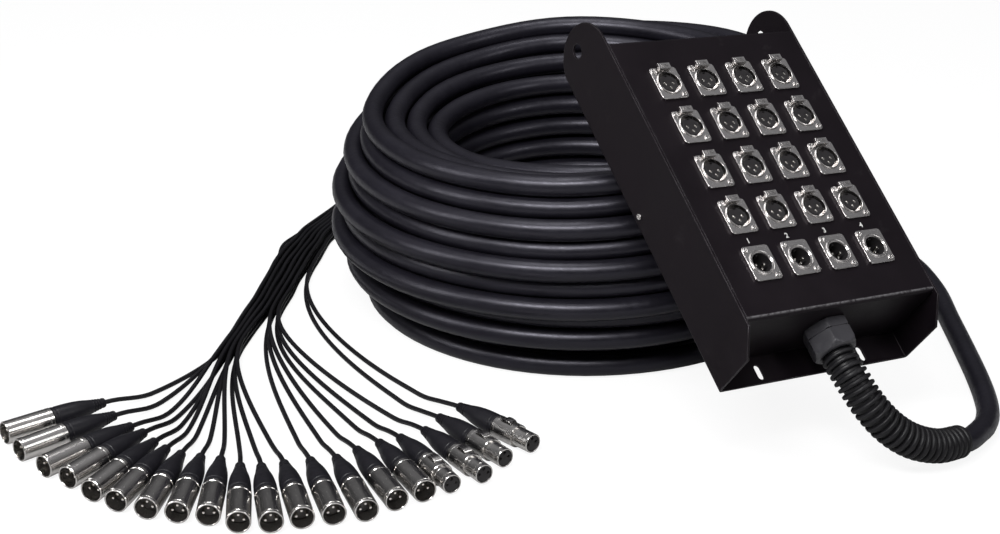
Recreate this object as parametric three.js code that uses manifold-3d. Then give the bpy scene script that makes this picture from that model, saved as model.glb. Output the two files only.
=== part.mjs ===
// Stage box snake: a tilted sheet-steel socket box resting on its coiled multicore, and a fan of plug tails.
// Millimetres, +Z up, z = 0 is the floor, and the origin is on the coil's flat underside at its front.
import * as THREE from 'three';
import { mergeVertices } from 'three/addons/utils/BufferGeometryUtils.js';
import Module from 'manifold-3d';

const wasm = await Module();
wasm.setup();

// Clearances and overruns shared by every piece
const SEAT_GAP = 0.3;
const RUNNING_GAP = 0.35;
const OVERRUN = 1;

// Steel box: a folded base with two cheeks, and a folded cover that holds the sockets
const BOX_WIDTH = 192;
const BOX_LENGTH = 264;
const BOX_HEIGHT = 66;
const SHEET = 2;
const FOLD_RADIUS = 3.5;
const LIP_LENGTH = 23.5;
const CHEEK_CHAMFER = 19.2;
const EAR_CENTRE_PAST_WALL = 5;
const EAR_HOLE_DIAMETER = 12;
const EAR_HOLE_PAST_WALL = 20;
const EAR_HOLE_HEIGHT = 30;
const SLOT_WIDTH = 5.5;
const SLOT_LENGTH = 13;
const SLOT_FROM_LIP_EDGE = 10;
const SLOT_SPACING = 104;

// Box pose: it leans back on the coil
const BOX_YAW_DEG = 27.9;
const BOX_PITCH_DEG = 37.5;
const BOX_ROLL_DEG = 6.2;
const BASE_CENTRE_X = 112.2;
const BASE_CENTRE_Y = -230.7;
const BASE_CENTRE_Z = 162.4;

// Socket field: four columns, four rows of inputs and one row of returns
const SOCKET_COLUMNS = 4;
const INPUT_ROWS = 4;
const COLUMN_PITCH = 38;
const ROW_PITCH = 43.2;
const FLANGE_WIDTH = 26;
const FLANGE_HEIGHT = 31;
const FLANGE_CORNER = 3.2;
const FLANGE_TOP = 2.1;
const SHELL_DIAMETER = 21;
const SHELL_DEPTH = 20;
const INSERT_DIAMETER = 15.8;
const GROOVE_DIAMETER = 20;
const GROOVE_DEPTH = 7;
const PIN_SPREAD = 3.96;
const PIN_DIAMETER = 2.4;
const PIN_HOLE_DIAMETER = 3;
const PIN_HOLE_DEPTH = 4;
const PIN_SIDES = 4;

// Return sockets: male, with a deep bore and three pins
const BORE_DIAMETER = 16.6;
const BORE_DEPTH = 14;
const SOCKET_PIN_LENGTH = 10;
const RETURN_SHELL_DIAMETER = 23;

// Latch tabs of the input sockets
const TAB_WIDTH = 11.6;
const TAB_STEM = 2.8;
const TAB_STEM_FROM_CENTRE = 11.3;
const TAB_INSIDE = 6;
const TAB_TRAVEL = 1.5;
const TAB_HEAD_THICK = 2.5;
const TAB_HEAD_REACH = 6;
const TAB_CHAMFER = 1;

// Cable gland in the middle of the near wall
const GLAND_HEIGHT = 33;
const GLAND_THREAD_DIAMETER = 25;
const GLAND_HEX_ACROSS = 34;
const GLAND_HEX_THICK = 8;
const GLAND_INNER_LENGTH = 13;
const GLAND_OUTER_LENGTH = 9;
const GLAND_COLLAR_DIAMETER = 28;
const GLAND_BORE_CLEARANCE = 0.6;
const LOCKNUT_ACROSS = 32;
const LOCKNUT_THICK = 5;
const NUT_ACROSS = 34;
const NUT_LENGTH = 16;
const NUT_CROWN = 5;
const NUT_MOUTH_DIAMETER = 24;

// Multicore cable, its ribbed bend relief and its coil
const CABLE_DIAMETER = 19;
const CABLE_FLAT = CABLE_DIAMETER / 10;
const CABLE_REST = CABLE_DIAMETER / 2 - CABLE_FLAT;
const CABLE_SIDES = 8;
const CABLE_LOOP_STEPS = 18;
const TRUNK_STEPS = 7;
const RIB_COUNT = 26;
const RIB_PITCH = 5.7;
const RIB_CREST_RADIUS = 14.2;
const RIB_VALLEY_RADIUS = 11.7;
const RIB_LAST_VALLEY_RADIUS = 12.9;
const RIB_POINTS = 8;
const RIBS_PER_BORE_RING = 4;
const BOOT_BORE_CLEARANCE = 0.7;
const BOOT_MOUTH_CLEARANCE = 0.8;
const COIL_COLUMNS = 4;
const COIL_LEVELS = 10;
const COIL_LEVEL_PITCH = 21.16;
const COIL_COLUMN_PITCH = 19.9;
const COIL_TURN_STEPS = 20;
const COIL_SIDES = 6;
const COIL_START_DEG = 80;
const COIL_BOTTOM_RADIUS = 199;
const COIL_TOP_RADIUS = 191.5;
const COIL_BULGE = 31;
const COIL_LEAN_SHARE = 0.0805;
const COIL_LEAN_DEG = 45;
const CORE_GAP = 0.6;
const CORE_BANDS = 2;
const LEAST_COIL_GAP = 0.4;
const STRAIGHT_END = 12;

// Tails: twenty thin cables in a loose bundle, then a fan
const TAIL_DIAMETER = 4;
const TAIL_SIDES = 8;
const TAIL_STEPS = 3;
const CURLING_TAIL_STEPS = 4;
const TAIL_ROUTE_POINTS = 16;
const BUNDLE_PITCH = 4.2;
const BUNDLE_LAYERS = 3;
const BUNDLE_MARGIN = 0.15;
const TAIL_SETTLE = 46;
const TAIL_DROP_START_SHARE = 0.25;
const TAIL_DROP_END_SHARE = 0.8;
const BREAKOUT_LENGTH = 50;
const BREAKOUT_COLLAR_RADIUS = 11.6;
const BREAKOUT_MOUTH_WIDTH = 34;
const BREAKOUT_MOUTH_HEIGHT = 16;

// Line plugs on the tails: male on the input tails, female on the return tails
const PLUG_RADIUS = 9.5;
const PLUG_LENGTH = 90;
const PLUG_SEGMENTS = 10;
const BOOT_TIP_RADIUS = 3.8;
const BOOT_LENGTH = 40;
const BOOT_END_RADIUS = 8.6;
const BARREL_START = 43;
const PLUG_BORE_RADIUS = 8.2;
const PLUG_BORE_DEPTH = 14.5;
const PLUG_PIN_LENGTH = 11;
const NOSE_RADIUS = 7.9;
const NOSE_LENGTH = 17;
const NOSE_RECESS = 1;
const NOSE_RIM = 1.1;
const BUTTON_LENGTH = 12;
const BUTTON_WIDTH = 7;
const BUTTON_PROUD = 1.9;
const BUTTON_SUNK = 2.2;
const BUTTON_FROM_NOSE = 5;
const BUTTON_TRAVEL = 1.2;

// Wiring inside the box
const LOOM_DIAMETER = 12;
const LOOM_BRANCH_DIAMETER = 7;
const LOOM_SIDES = 6;
const JACKET_INSIDE = 22;

// Finishes
const paint = new THREE.MeshStandardMaterial({ color: 0x17161a, roughness: 0.55, metalness: 0.2 });
const nickel = new THREE.MeshStandardMaterial({ color: 0xb9b7b2, roughness: 0.35, metalness: 1 });
const jacket = new THREE.MeshStandardMaterial({ color: 0x1b1a1d, roughness: 0.6, metalness: 0 });
const wire = new THREE.MeshStandardMaterial({ color: 0x6a6a6e, roughness: 0.7, metalness: 0 });

// A closed three.js geometry as a solid that can be joined and cut
function solidOf(geometry) {
  const bare = new THREE.BufferGeometry();
  bare.setAttribute('position', geometry.getAttribute('position').clone());
  if (geometry.index) bare.setIndex(geometry.index.clone());
  const merged = mergeVertices(bare);
  const corners = merged.index.array;
  const places = merged.getAttribute('position').array;
  const faces = [];
  let volume = 0;
  const [a, b, c] = [new THREE.Vector3(), new THREE.Vector3(), new THREE.Vector3()];
  for (let i = 0; i < corners.length; i += 3) {
    const [p, q, r] = [corners[i], corners[i + 1], corners[i + 2]];
    if (p === q || q === r || r === p) continue;
    faces.push([p, q, r]);
    a.fromArray(places, p * 3);
    b.fromArray(places, q * 3);
    c.fromArray(places, r * 3);
    volume += a.dot(b.cross(c));
  }
  const outward = volume < 0 ? faces.map(([p, q, r]) => [p, r, q]) : faces;
  const mesh = new wasm.Mesh({
    numProp: 3,
    vertProperties: Float32Array.from(places),
    triVerts: Uint32Array.from(outward.flat()),
  });
  return new wasm.Manifold(mesh);
}

// A solid's surface as a three.js geometry
function geometryOf(solid) {
  const surface = solid.getMesh();
  const geometry = new THREE.BufferGeometry();
  geometry.setAttribute('position', new THREE.BufferAttribute(Float32Array.from(surface.vertProperties), 3));
  geometry.setIndex(new THREE.BufferAttribute(Uint32Array.from(surface.triVerts), 1));
  geometry.computeVertexNormals();
  return geometry;
}

function joined(solids) {
  return solids.reduce((whole, next) => whole.add(next));
}

function pieceOf(name, solid, material) {
  const piece = new THREE.Mesh(geometryOf(solid), material);
  piece.name = name;
  return piece;
}

// A block between two corners
function block(low, high) {
  const size = high.clone().sub(low);
  const middle = high.clone().add(low).multiplyScalar(0.5);
  return solidOf(new THREE.BoxGeometry(size.x, size.y, size.z).translate(middle.x, middle.y, middle.z));
}

function at(x, y, z) {
  return new THREE.Vector3(x, y, z);
}

// A flat outline raised along +Z from one height to another
function raised(outline, low, high, curveSegments = 3) {
  const geometry = new THREE.ExtrudeGeometry(outline, { depth: high - low, bevelEnabled: false, curveSegments });
  return solidOf(geometry.translate(0, 0, low));
}

// A solid of revolution about +Z from [radius, height] points
function turned(points, segments) {
  const profile = points.map(([radius, height]) => new THREE.Vector2(radius, height));
  const geometry = new THREE.LatheGeometry(profile, segments);
  return solidOf(geometry.rotateX(Math.PI / 2));
}

// A plain cylinder along +Z
function rod(radius, low, high, segments) {
  return turned([[0, low], [radius, low], [radius, high], [0, high]], segments);
}

// What cuts a round hole that clears a radius on every flat
function drill(radius, low, high, segments) {
  return rod(radius / Math.cos(Math.PI / segments), low, high, segments);
}

// A rectangle with round corners, centred on a point
function roundedRectangle(width, height, corner) {
  const [x, y] = [width / 2, height / 2];
  const outline = new THREE.Shape();
  outline.moveTo(corner - x, -y);
  outline.lineTo(x - corner, -y);
  outline.absarc(x - corner, corner - y, corner, -Math.PI / 2, 0);
  outline.lineTo(x, y - corner);
  outline.absarc(x - corner, y - corner, corner, 0, Math.PI / 2);
  outline.lineTo(corner - x, y);
  outline.absarc(corner - x, y - corner, corner, Math.PI / 2, Math.PI);
  outline.lineTo(-x, corner - y);
  outline.absarc(corner - x, corner - y, corner, Math.PI, Math.PI * 1.5);
  return outline;
}

// A regular hexagon by its size across the flats
function hexagon(across) {
  const radius = across / Math.sqrt(3);
  const outline = new THREE.Shape();
  for (let corner = 0; corner < 6; corner += 1) {
    const angle = (corner * Math.PI) / 3;
    const [x, y] = [radius * Math.cos(angle), radius * Math.sin(angle)];
    if (corner === 0) outline.moveTo(x, y);
    else outline.lineTo(x, y);
  }
  outline.closePath();
  return outline;
}

// The three contact places of a connector, in its own plane
const contactPlaces = [[-PIN_SPREAD, 0], [PIN_SPREAD, 0], [0, PIN_SPREAD]];

// A closed skin through rings of points, with flat ends
function skin(rings) {
  const sides = rings[0].length;
  const places = rings.flat().flatMap((point) => [point.x, point.y, point.z]);
  const faces = [];
  const corner = (ring, side) => ring * sides + (side % sides);
  for (let ring = 0; ring + 1 < rings.length; ring += 1) {
    for (let side = 0; side < sides; side += 1) {
      faces.push(corner(ring, side), corner(ring, side + 1), corner(ring + 1, side + 1));
      faces.push(corner(ring, side), corner(ring + 1, side + 1), corner(ring + 1, side));
    }
  }
  const last = rings.length - 1;
  for (let side = 1; side + 1 < sides; side += 1) {
    faces.push(corner(0, 0), corner(0, side + 1), corner(0, side));
    faces.push(corner(last, 0), corner(last, side), corner(last, side + 1));
  }
  const geometry = new THREE.BufferGeometry();
  geometry.setAttribute('position', new THREE.Float32BufferAttribute(places, 3));
  geometry.setIndex(faces);
  return geometry;
}

// A ring of points round a cable's centre, with its first point straight up
function ringRound(centre, heading, radius, points) {
  const across = heading.clone().cross(at(0, 0, 1)).normalize();
  const up = across.clone().cross(heading).normalize();
  return Array.from({ length: points }, (_, point) => {
    const angle = (point * Math.PI * 2) / points;
    const offset = up.clone().multiplyScalar(Math.cos(angle) * radius);
    return centre.clone().add(offset).addScaledVector(across, Math.sin(angle) * radius);
  });
}

// A tube of straight steps along a smooth curve
function cordTube(curve, radius, sides, steps) {
  const section = new THREE.Shape();
  for (let side = 0; side < sides; side += 1) {
    const angle = (side * Math.PI * 2) / sides;
    const [x, y] = [radius * Math.cos(angle), radius * Math.sin(angle)];
    if (side === 0) section.moveTo(x, y);
    else section.lineTo(x, y);
  }
  section.closePath();
  return solidOf(new THREE.ExtrudeGeometry(section, { steps, extrudePath: curve, bevelEnabled: false }));
}

// Two points that keep a cord's end straight and square to what it meets: the end itself and one further in
function straightEnd(meeting, inward) {
  return [SEAT_GAP, STRAIGHT_END].map((distance) => meeting.clone().addScaledVector(inward, distance));
}

// What of a cord lies above the floor, so that it rests on a flat
const floorReach = BOX_LENGTH * 3;
function aboveFloor(solid) {
  const below = block(at(-floorReach, -floorReach, -CABLE_DIAMETER), at(floorReach, floorReach, 0));
  return solid.subtract(below);
}

// The box's frame: x across the columns, y away from the cable end, z out of the base
const box = new THREE.Group();
const degrees = Math.PI / 180;
const boxTurn = new THREE.Euler(BOX_PITCH_DEG * degrees, BOX_ROLL_DEG * degrees, BOX_YAW_DEG * degrees, 'ZXY');
box.setRotationFromEuler(boxTurn);
box.position.set(BASE_CENTRE_X, BASE_CENTRE_Y, BASE_CENTRE_Z);
box.updateMatrixWorld(true);

const halfWidth = BOX_WIDTH / 2;
const halfLength = BOX_LENGTH / 2;
const lipEdge = -halfLength - LIP_LENGTH;
const earCentre = halfLength + EAR_CENTRE_PAST_WALL;
const panelTop = BOX_HEIGHT;
const coverHalfWidth = halfWidth - SHEET - SEAT_GAP;
const coverFoot = SHEET + SEAT_GAP;

// Base: floor plate with two slots in its lip, and cheeks that end in round ears
function cheekOutline() {
  const radius = BOX_HEIGHT / 2;
  const outline = new THREE.Shape();
  outline.moveTo(lipEdge, 0);
  outline.lineTo(earCentre, 0);
  outline.absarc(earCentre, radius, radius, -Math.PI / 2, Math.PI / 2);
  outline.lineTo(lipEdge + CHEEK_CHAMFER, BOX_HEIGHT);
  outline.lineTo(lipEdge, BOX_HEIGHT - CHEEK_CHAMFER);
  outline.closePath();
  const hole = new THREE.Path();
  hole.absarc(halfLength + EAR_HOLE_PAST_WALL, EAR_HOLE_HEIGHT, EAR_HOLE_DIAMETER / 2, 0, Math.PI * 2);
  outline.holes.push(hole);
  return outline;
}

function cheek(inner) {
  const geometry = new THREE.ExtrudeGeometry(cheekOutline(), { depth: SHEET, bevelEnabled: false, curveSegments: 9 });
  return solidOf(geometry.rotateZ(Math.PI / 2).rotateY(Math.PI / 2).translate(inner, 0, 0));
}

function lipSlot(x) {
  const straight = SLOT_LENGTH - SLOT_WIDTH;
  const outline = new THREE.Shape();
  outline.absarc(x, lipEdge + SLOT_FROM_LIP_EDGE + straight / 2, SLOT_WIDTH / 2, 0, Math.PI);
  outline.absarc(x, lipEdge + SLOT_FROM_LIP_EDGE - straight / 2, SLOT_WIDTH / 2, Math.PI, Math.PI * 2);
  return raised(outline, -OVERRUN, SHEET + OVERRUN, 5);
}

function baseChassis() {
  const plate = block(at(-halfWidth, lipEdge, 0), at(halfWidth, earCentre, SHEET));
  const cheeks = [cheek(-halfWidth), cheek(halfWidth - SHEET)];
  const slots = joined([lipSlot(-SLOT_SPACING / 2), lipSlot(SLOT_SPACING / 2)]);
  return joined([plate, ...cheeks]).subtract(slots);
}

// Cover: panel and two end walls folded from one sheet
function coverOutline() {
  const bend = FOLD_RADIUS;
  const inside = FOLD_RADIUS - SHEET;
  const [near, far] = [-halfLength, halfLength];
  const outline = new THREE.Shape();
  outline.moveTo(near, coverFoot);
  outline.lineTo(near + SHEET, coverFoot);
  outline.lineTo(near + SHEET, panelTop - bend);
  outline.absarc(near + bend, panelTop - bend, inside, Math.PI, Math.PI / 2, true);
  outline.lineTo(far - bend, panelTop - SHEET);
  outline.absarc(far - bend, panelTop - bend, inside, Math.PI / 2, 0, true);
  outline.lineTo(far - SHEET, coverFoot);
  outline.lineTo(far, coverFoot);
  outline.lineTo(far, panelTop - bend);
  outline.absarc(far - bend, panelTop - bend, bend, 0, Math.PI / 2);
  outline.lineTo(near + bend, panelTop);
  outline.absarc(near + bend, panelTop - bend, bend, Math.PI / 2, Math.PI);
  outline.closePath();
  return outline;
}

// A socket's flange and the shell behind it, about its own centre on the panel
function socketBlank(shellRadius, low) {
  const flange = raised(roundedRectangle(FLANGE_WIDTH, FLANGE_HEIGHT, FLANGE_CORNER), low, FLANGE_TOP, 1);
  return flange.add(rod(shellRadius, -SHELL_DEPTH - SHEET, low + OVERRUN, PLUG_SEGMENTS));
}

// What is cut from an input socket: the groove that takes the plug's barrel, and the tab's slot
function inputCut() {
  const [inner, outer] = [INSERT_DIAMETER / 2, GROOVE_DIAMETER / 2];
  const [floor, top] = [FLANGE_TOP - GROOVE_DEPTH, FLANGE_TOP + OVERRUN];
  const profile = [[inner, floor], [outer, floor], [outer, top], [inner, top], [inner, floor]];
  const groove = turned(profile, PLUG_SEGMENTS);
  const slotHalfWidth = TAB_WIDTH / 2 + RUNNING_GAP;
  const slotLow = at(-slotHalfWidth, TAB_STEM_FROM_CENTRE - RUNNING_GAP, -SHEET - OVERRUN);
  const slotHigh = at(slotHalfWidth, TAB_STEM_FROM_CENTRE + TAB_STEM + RUNNING_GAP, top);
  return groove.add(block(slotLow, slotHigh));
}

function columnPlace(column) {
  return (column - (SOCKET_COLUMNS - 1) / 2) * COLUMN_PITCH;
}

function rowPlace(row) {
  return (INPUT_ROWS / 2 - row) * ROW_PITCH;
}

function topCover() {
  const geometry = new THREE.ExtrudeGeometry(coverOutline(), {
    depth: coverHalfWidth * 2, bevelEnabled: false, curveSegments: 3,
  });
  let cover = solidOf(geometry.rotateZ(Math.PI / 2).rotateY(Math.PI / 2).translate(-coverHalfWidth, 0, 0));
  const blank = socketBlank(SHELL_DIAMETER / 2, -SHEET / 2);
  const cut = inputCut();
  const returnHole = drill(RETURN_SHELL_DIAMETER / 2 + SEAT_GAP, -SHEET - OVERRUN, OVERRUN, PLUG_SEGMENTS);
  for (let column = 0; column < SOCKET_COLUMNS; column += 1) {
    for (let row = 0; row < INPUT_ROWS; row += 1) {
      const place = [columnPlace(column), rowPlace(row), panelTop];
      cover = cover.add(blank.translate(place)).subtract(cut.translate(place));
    }
    cover = cover.subtract(returnHole.translate([columnPlace(column), rowPlace(INPUT_ROWS), panelTop]));
  }
  const glandHole = drill(GLAND_THREAD_DIAMETER / 2 + SEAT_GAP, -SHEET - OVERRUN, OVERRUN, PLUG_SEGMENTS);
  return cover.subtract(alongGland(glandHole));
}

// Gland pieces are drawn along +Z from the wall's outer face, then turned to point out of the wall
function alongGland(solid) {
  return solid.rotate([90, 0, 0]).translate([0, -halfLength, GLAND_HEIGHT]);
}

const cableBoreRadius = (CABLE_DIAMETER + GLAND_BORE_CLEARANCE) / 2;
const glandHexTop = SEAT_GAP + GLAND_HEX_THICK;
const glandOuterEnd = glandHexTop + GLAND_OUTER_LENGTH;
const glandInnerEnd = -SHEET - GLAND_INNER_LENGTH;
const nutStart = glandHexTop + SEAT_GAP;
const nutEnd = nutStart + NUT_LENGTH;
const nutPocketEnd = glandOuterEnd + SEAT_GAP;

function glandBody() {
  const hex = raised(hexagon(GLAND_HEX_ACROSS), SEAT_GAP, glandHexTop);
  const inner = rod(GLAND_THREAD_DIAMETER / 2, glandInnerEnd, glandHexTop, PLUG_SEGMENTS);
  const outer = rod(GLAND_COLLAR_DIAMETER / 2, SEAT_GAP, glandOuterEnd, PLUG_SEGMENTS);
  const bore = drill(cableBoreRadius, glandInnerEnd - OVERRUN, glandOuterEnd + OVERRUN, PLUG_SEGMENTS);
  return alongGland(joined([hex, inner, outer]).subtract(bore));
}

function glandLocknut() {
  const [low, high] = [-SHEET - SEAT_GAP - LOCKNUT_THICK, -SHEET - SEAT_GAP];
  const hole = drill(GLAND_THREAD_DIAMETER / 2 + SEAT_GAP, low - OVERRUN, high + OVERRUN, PLUG_SEGMENTS);
  return alongGland(raised(hexagon(LOCKNUT_ACROSS), low, high).subtract(hole));
}

function glandNut() {
  const corner = NUT_ACROSS / Math.sqrt(3);
  const crownRadius = NUT_MOUTH_DIAMETER / 2 + SHEET;
  const hex = raised(hexagon(NUT_ACROSS), nutStart, nutEnd);
  const dome = turned([[0, nutStart], [corner, nutStart], [corner, nutEnd - NUT_CROWN],
    [crownRadius, nutEnd], [0, nutEnd]], PLUG_SEGMENTS * 2);
  const pocket = drill(GLAND_COLLAR_DIAMETER / 2 + SEAT_GAP, nutStart - OVERRUN, nutPocketEnd, PLUG_SEGMENTS);
  const mouth = drill(NUT_MOUTH_DIAMETER / 2, nutStart, nutEnd + OVERRUN, PLUG_SEGMENTS);
  return alongGland(hex.intersect(dome).subtract(pocket).subtract(mouth));
}

// Return socket: the same flange with a deep bore, three pins and a key at the top of the bore
function returnSocket() {
  const blank = socketBlank(RETURN_SHELL_DIAMETER / 2, SEAT_GAP);
  const bore = rod(BORE_DIAMETER / 2, FLANGE_TOP - BORE_DEPTH, FLANGE_TOP + OVERRUN, PLUG_SEGMENTS);
  const floor = FLANGE_TOP - BORE_DEPTH;
  const pins = contactPlaces.map(([x, y]) =>
    rod(PIN_DIAMETER / 2, floor - OVERRUN, floor + SOCKET_PIN_LENGTH, PIN_SIDES).translate([x, -y, 0]));
  return joined([blank.subtract(bore), ...pins]);
}

// Latch tab: a stem through the flange and a head over it
function latchTab() {
  const [front, back] = [TAB_STEM_FROM_CENTRE, TAB_STEM_FROM_CENTRE + TAB_STEM];
  const under = FLANGE_TOP + TAB_TRAVEL + SEAT_GAP;
  const top = under + TAB_HEAD_THICK;
  const outline = new THREE.Shape();
  outline.moveTo(front, -TAB_INSIDE);
  outline.lineTo(back, -TAB_INSIDE);
  outline.lineTo(back, under);
  outline.lineTo(front + TAB_HEAD_REACH, under);
  outline.lineTo(front + TAB_HEAD_REACH, top - TAB_CHAMFER);
  outline.lineTo(front + TAB_HEAD_REACH - TAB_CHAMFER, top);
  outline.lineTo(front, top);
  outline.closePath();
  const geometry = new THREE.ExtrudeGeometry(outline, { depth: TAB_WIDTH, bevelEnabled: false });
  return solidOf(geometry.rotateZ(Math.PI / 2).rotateY(Math.PI / 2).translate(-TAB_WIDTH / 2, 0, 0));
}

// Wiring: a trunk from the cable's inner end and a branch under each row of sockets
function innerLoom() {
  const trunkStart = -halfLength + SHEET + JACKET_INSIDE + SEAT_GAP;
  const trunk = rod(LOOM_DIAMETER / 2, 0, rowPlace(0) - trunkStart, LOOM_SIDES).rotate([-90, 0, 0]);
  const solids = [trunk.translate([0, trunkStart, GLAND_HEIGHT])];
  const reach = columnPlace(SOCKET_COLUMNS - 1) + LOOM_BRANCH_DIAMETER / 2;
  const height = panelTop - SHEET - SHELL_DEPTH - SEAT_GAP - LOOM_BRANCH_DIAMETER / 2;
  for (let row = 0; row <= INPUT_ROWS; row += 1) {
    const branch = rod(LOOM_BRANCH_DIAMETER / 2, -reach, reach, LOOM_SIDES).rotate([0, 90, 0]);
    solids.push(branch.translate([0, rowPlace(row), height]));
  }
  return joined(solids);
}

// Centreline of the cable from inside the gland, through the boot, to the coil
const outOfWall = at(0, -1, 0).applyEuler(boxTurn);
const wallPlace = box.localToWorld(at(0, -halfLength, GLAND_HEIGHT));
const bootRoot = wallPlace.clone().addScaledVector(outOfWall, nutPocketEnd + SEAT_GAP);
const nutFace = wallPlace.clone().addScaledVector(outOfWall, nutEnd);
const coilStart = COIL_START_DEG * degrees;

// Route of the bend that the boot holds, and of the loop that lies on the floor
const bendRoute = [
  [192.5, -369.8, 79.2], [205.4, -378.1, 61], [221.6, -380.7, 43.3], [240.4, -377.6, 29.5], [263.7, -367.2, 19.4],
  [285.7, -350.5, 14.8],
];
const loopRoute = [
  [302.4, -334.4, 11.6], [317, -314.4, 9.2], [326.9, -289.8, CABLE_REST], [331, -262, CABLE_REST],
  [332, -222, CABLE_REST], [331.5, -165, CABLE_REST], [331, -98, CABLE_REST], [331, -24, CABLE_REST],
  [319, 44, CABLE_REST], [285, 105, CABLE_REST], [232, 149, CABLE_REST], [168, 172, CABLE_REST],
  [133, 178.6, CABLE_REST],
];

// Radius and level of each turn's place in the coil's section, from the floor's outer turn round to the last
const coilInnerRadius = Math.min(COIL_BOTTOM_RADIUS, COIL_TOP_RADIUS) - (COIL_COLUMNS - 1) * COIL_COLUMN_PITCH;
function outerRadius(level) {
  const share = level / (COIL_LEVELS - 1);
  const straight = COIL_BOTTOM_RADIUS + (COIL_TOP_RADIUS - COIL_BOTTOM_RADIUS) * share;
  return straight + COIL_BULGE * Math.sin(Math.PI * share);
}

// The coil is slack: its levels lie closer on one side than on the other
function levelHeight(level, angle) {
  const lean = 1 + COIL_LEAN_SHARE * Math.cos(angle - COIL_LEAN_DEG * degrees);
  return CABLE_REST + level * COIL_LEVEL_PITCH * lean;
}

function coilPlaces() {
  const top = COIL_LEVELS - 1;
  const inner = COIL_COLUMNS - 1;
  const bottomPitch = (COIL_BOTTOM_RADIUS - coilInnerRadius) / inner;
  const places = [];
  for (let column = 0; column < inner; column += 1) {
    places.push({ radius: COIL_BOTTOM_RADIUS - column * bottomPitch, level: 0, wait: 0.75 });
  }
  for (let level = 0; level < top; level += 1) {
    places.push({ radius: coilInnerRadius, level, wait: 0.5 });
  }
  for (let column = inner; column > 0; column -= 1) {
    places.push({ radius: COIL_TOP_RADIUS - column * COIL_COLUMN_PITCH, level: top, wait: 0.25 });
  }
  for (let level = top; level > 0; level -= 1) {
    places.push({ radius: outerRadius(level), level, wait: 0 });
  }
  return places;
}

// The coil's centreline: each turn keeps its place and crosses to the next in a quarter turn
const coilSections = coilPlaces();
const crossingShare = 0.25;
function coilPoint(turns) {
  const turn = Math.min(Math.floor(turns), coilSections.length - 1);
  const here = coilSections[turn];
  const next = coilSections[Math.min(turn + 1, coilSections.length - 1)];
  const along = THREE.MathUtils.smoothstep(turns - turn, here.wait, here.wait + crossingShare);
  const angle = coilStart + turns * Math.PI * 2;
  const radius = THREE.MathUtils.lerp(here.radius, next.radius, along);
  const level = THREE.MathUtils.lerp(here.level, next.level, along);
  return at(radius * Math.cos(angle), radius * Math.sin(angle), levelHeight(level, angle));
}

const coilTurns = coilSections.length - 1;
const coilSteps = coilTurns * COIL_TURN_STEPS - 1;
const coilCentres = Array.from({ length: coilSteps + 1 }, (_, step) => coilPoint(step / COIL_TURN_STEPS));
function headingAt(step) {
  const angle = coilStart + (step / COIL_TURN_STEPS) * Math.PI * 2;
  return at(-Math.sin(angle), Math.cos(angle), 0);
}
const coilIn = coilCentres[0].clone().addScaledVector(headingAt(0), -CABLE_DIAMETER);
const coilOut = coilCentres[coilSteps].clone().addScaledVector(headingAt(coilSteps), CABLE_DIAMETER);

function leastCoilGap() {
  let least = Infinity;
  const middles = coilCentres.slice(1).map((point, i) => point.clone().add(coilCentres[i]).multiplyScalar(0.5));
  const points = coilCentres.flatMap((point, i) => (i < middles.length ? [point, middles[i]] : [point]));
  for (let i = 0; i < points.length; i += 1) {
    for (let j = i + COIL_TURN_STEPS; j < points.length; j += 1) {
      least = Math.min(least, points[i].distanceTo(points[j]));
    }
  }
  return least - CABLE_DIAMETER;
}

function cableCoil() {
  const rings = [ringRound(coilIn, headingAt(0), CABLE_DIAMETER / 2, COIL_SIDES)];
  coilCentres.forEach((centre, step) => {
    const before = coilCentres[Math.max(step - 1, 0)];
    const after = coilCentres[Math.min(step + 1, coilSteps)];
    const ends = step === 0 || step === coilSteps;
    const heading = ends ? headingAt(step) : after.clone().sub(before).normalize();
    rings.push(ringRound(centre, heading, CABLE_DIAMETER / 2, COIL_SIDES));
  });
  rings.push(ringRound(coilOut, headingAt(coilSteps), CABLE_DIAMETER / 2, COIL_SIDES));
  return aboveFloor(solidOf(skin(rings)));
}

// The turns that nobody sees fill the section as one plain ring
function coilCore() {
  const facet = 1 / Math.cos(Math.PI / COIL_TURN_STEPS);
  const wall = CABLE_DIAMETER / 2 + CORE_GAP;
  const lowest = (COIL_LEAN_DEG + 180) * degrees;
  const [low, high] = [levelHeight(0, lowest) + wall, levelHeight(COIL_LEVELS - 1, lowest) - wall];
  const inner = (coilInnerRadius + wall) * facet;
  const outline = [[inner, low]];
  for (let band = 0; band <= CORE_BANDS; band += 1) {
    const level = THREE.MathUtils.lerp(1, COIL_LEVELS - 2, band / CORE_BANDS);
    const clear = Math.min(outerRadius(level - 1), outerRadius(level + 1));
    outline.push([clear - wall, THREE.MathUtils.clamp(levelHeight(level, lowest), low, high)]);
  }
  outline.push([inner, high], [inner, low]);
  return turned(outline, COIL_TURN_STEPS).rotate([0, 0, COIL_START_DEG]);
}

// The cable's loop from the boot to the coil
const bendPoints = bendRoute.map(([x, y, z]) => at(x, y, z));
const heldCurve = new THREE.CatmullRomCurve3([bootRoot, nutFace, ...bendPoints]);
const loopPoints = loopRoute.map(([x, y, z]) => at(x, y, z));
const loopStart = bendPoints[bendPoints.length - 1];
const loopHeading = heldCurve.getTangentAt(1);
const loopCurve = new THREE.CatmullRomCurve3([
  ...straightEnd(loopStart, loopHeading), ...loopPoints,
  ...straightEnd(coilIn, headingAt(0).negate()).reverse(),
]);

// Stations of the boot and of the cable inside it
const heldLength = heldCurve.getLength();
const ribsLength = RIB_COUNT * RIB_PITCH;
const bootCollar = heldLength - ribsLength;

function bootStation(length) {
  const share = THREE.MathUtils.clamp(length / heldLength, 0, 1);
  return { centre: heldCurve.getPointAt(share), heading: heldCurve.getTangentAt(share) };
}

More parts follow.
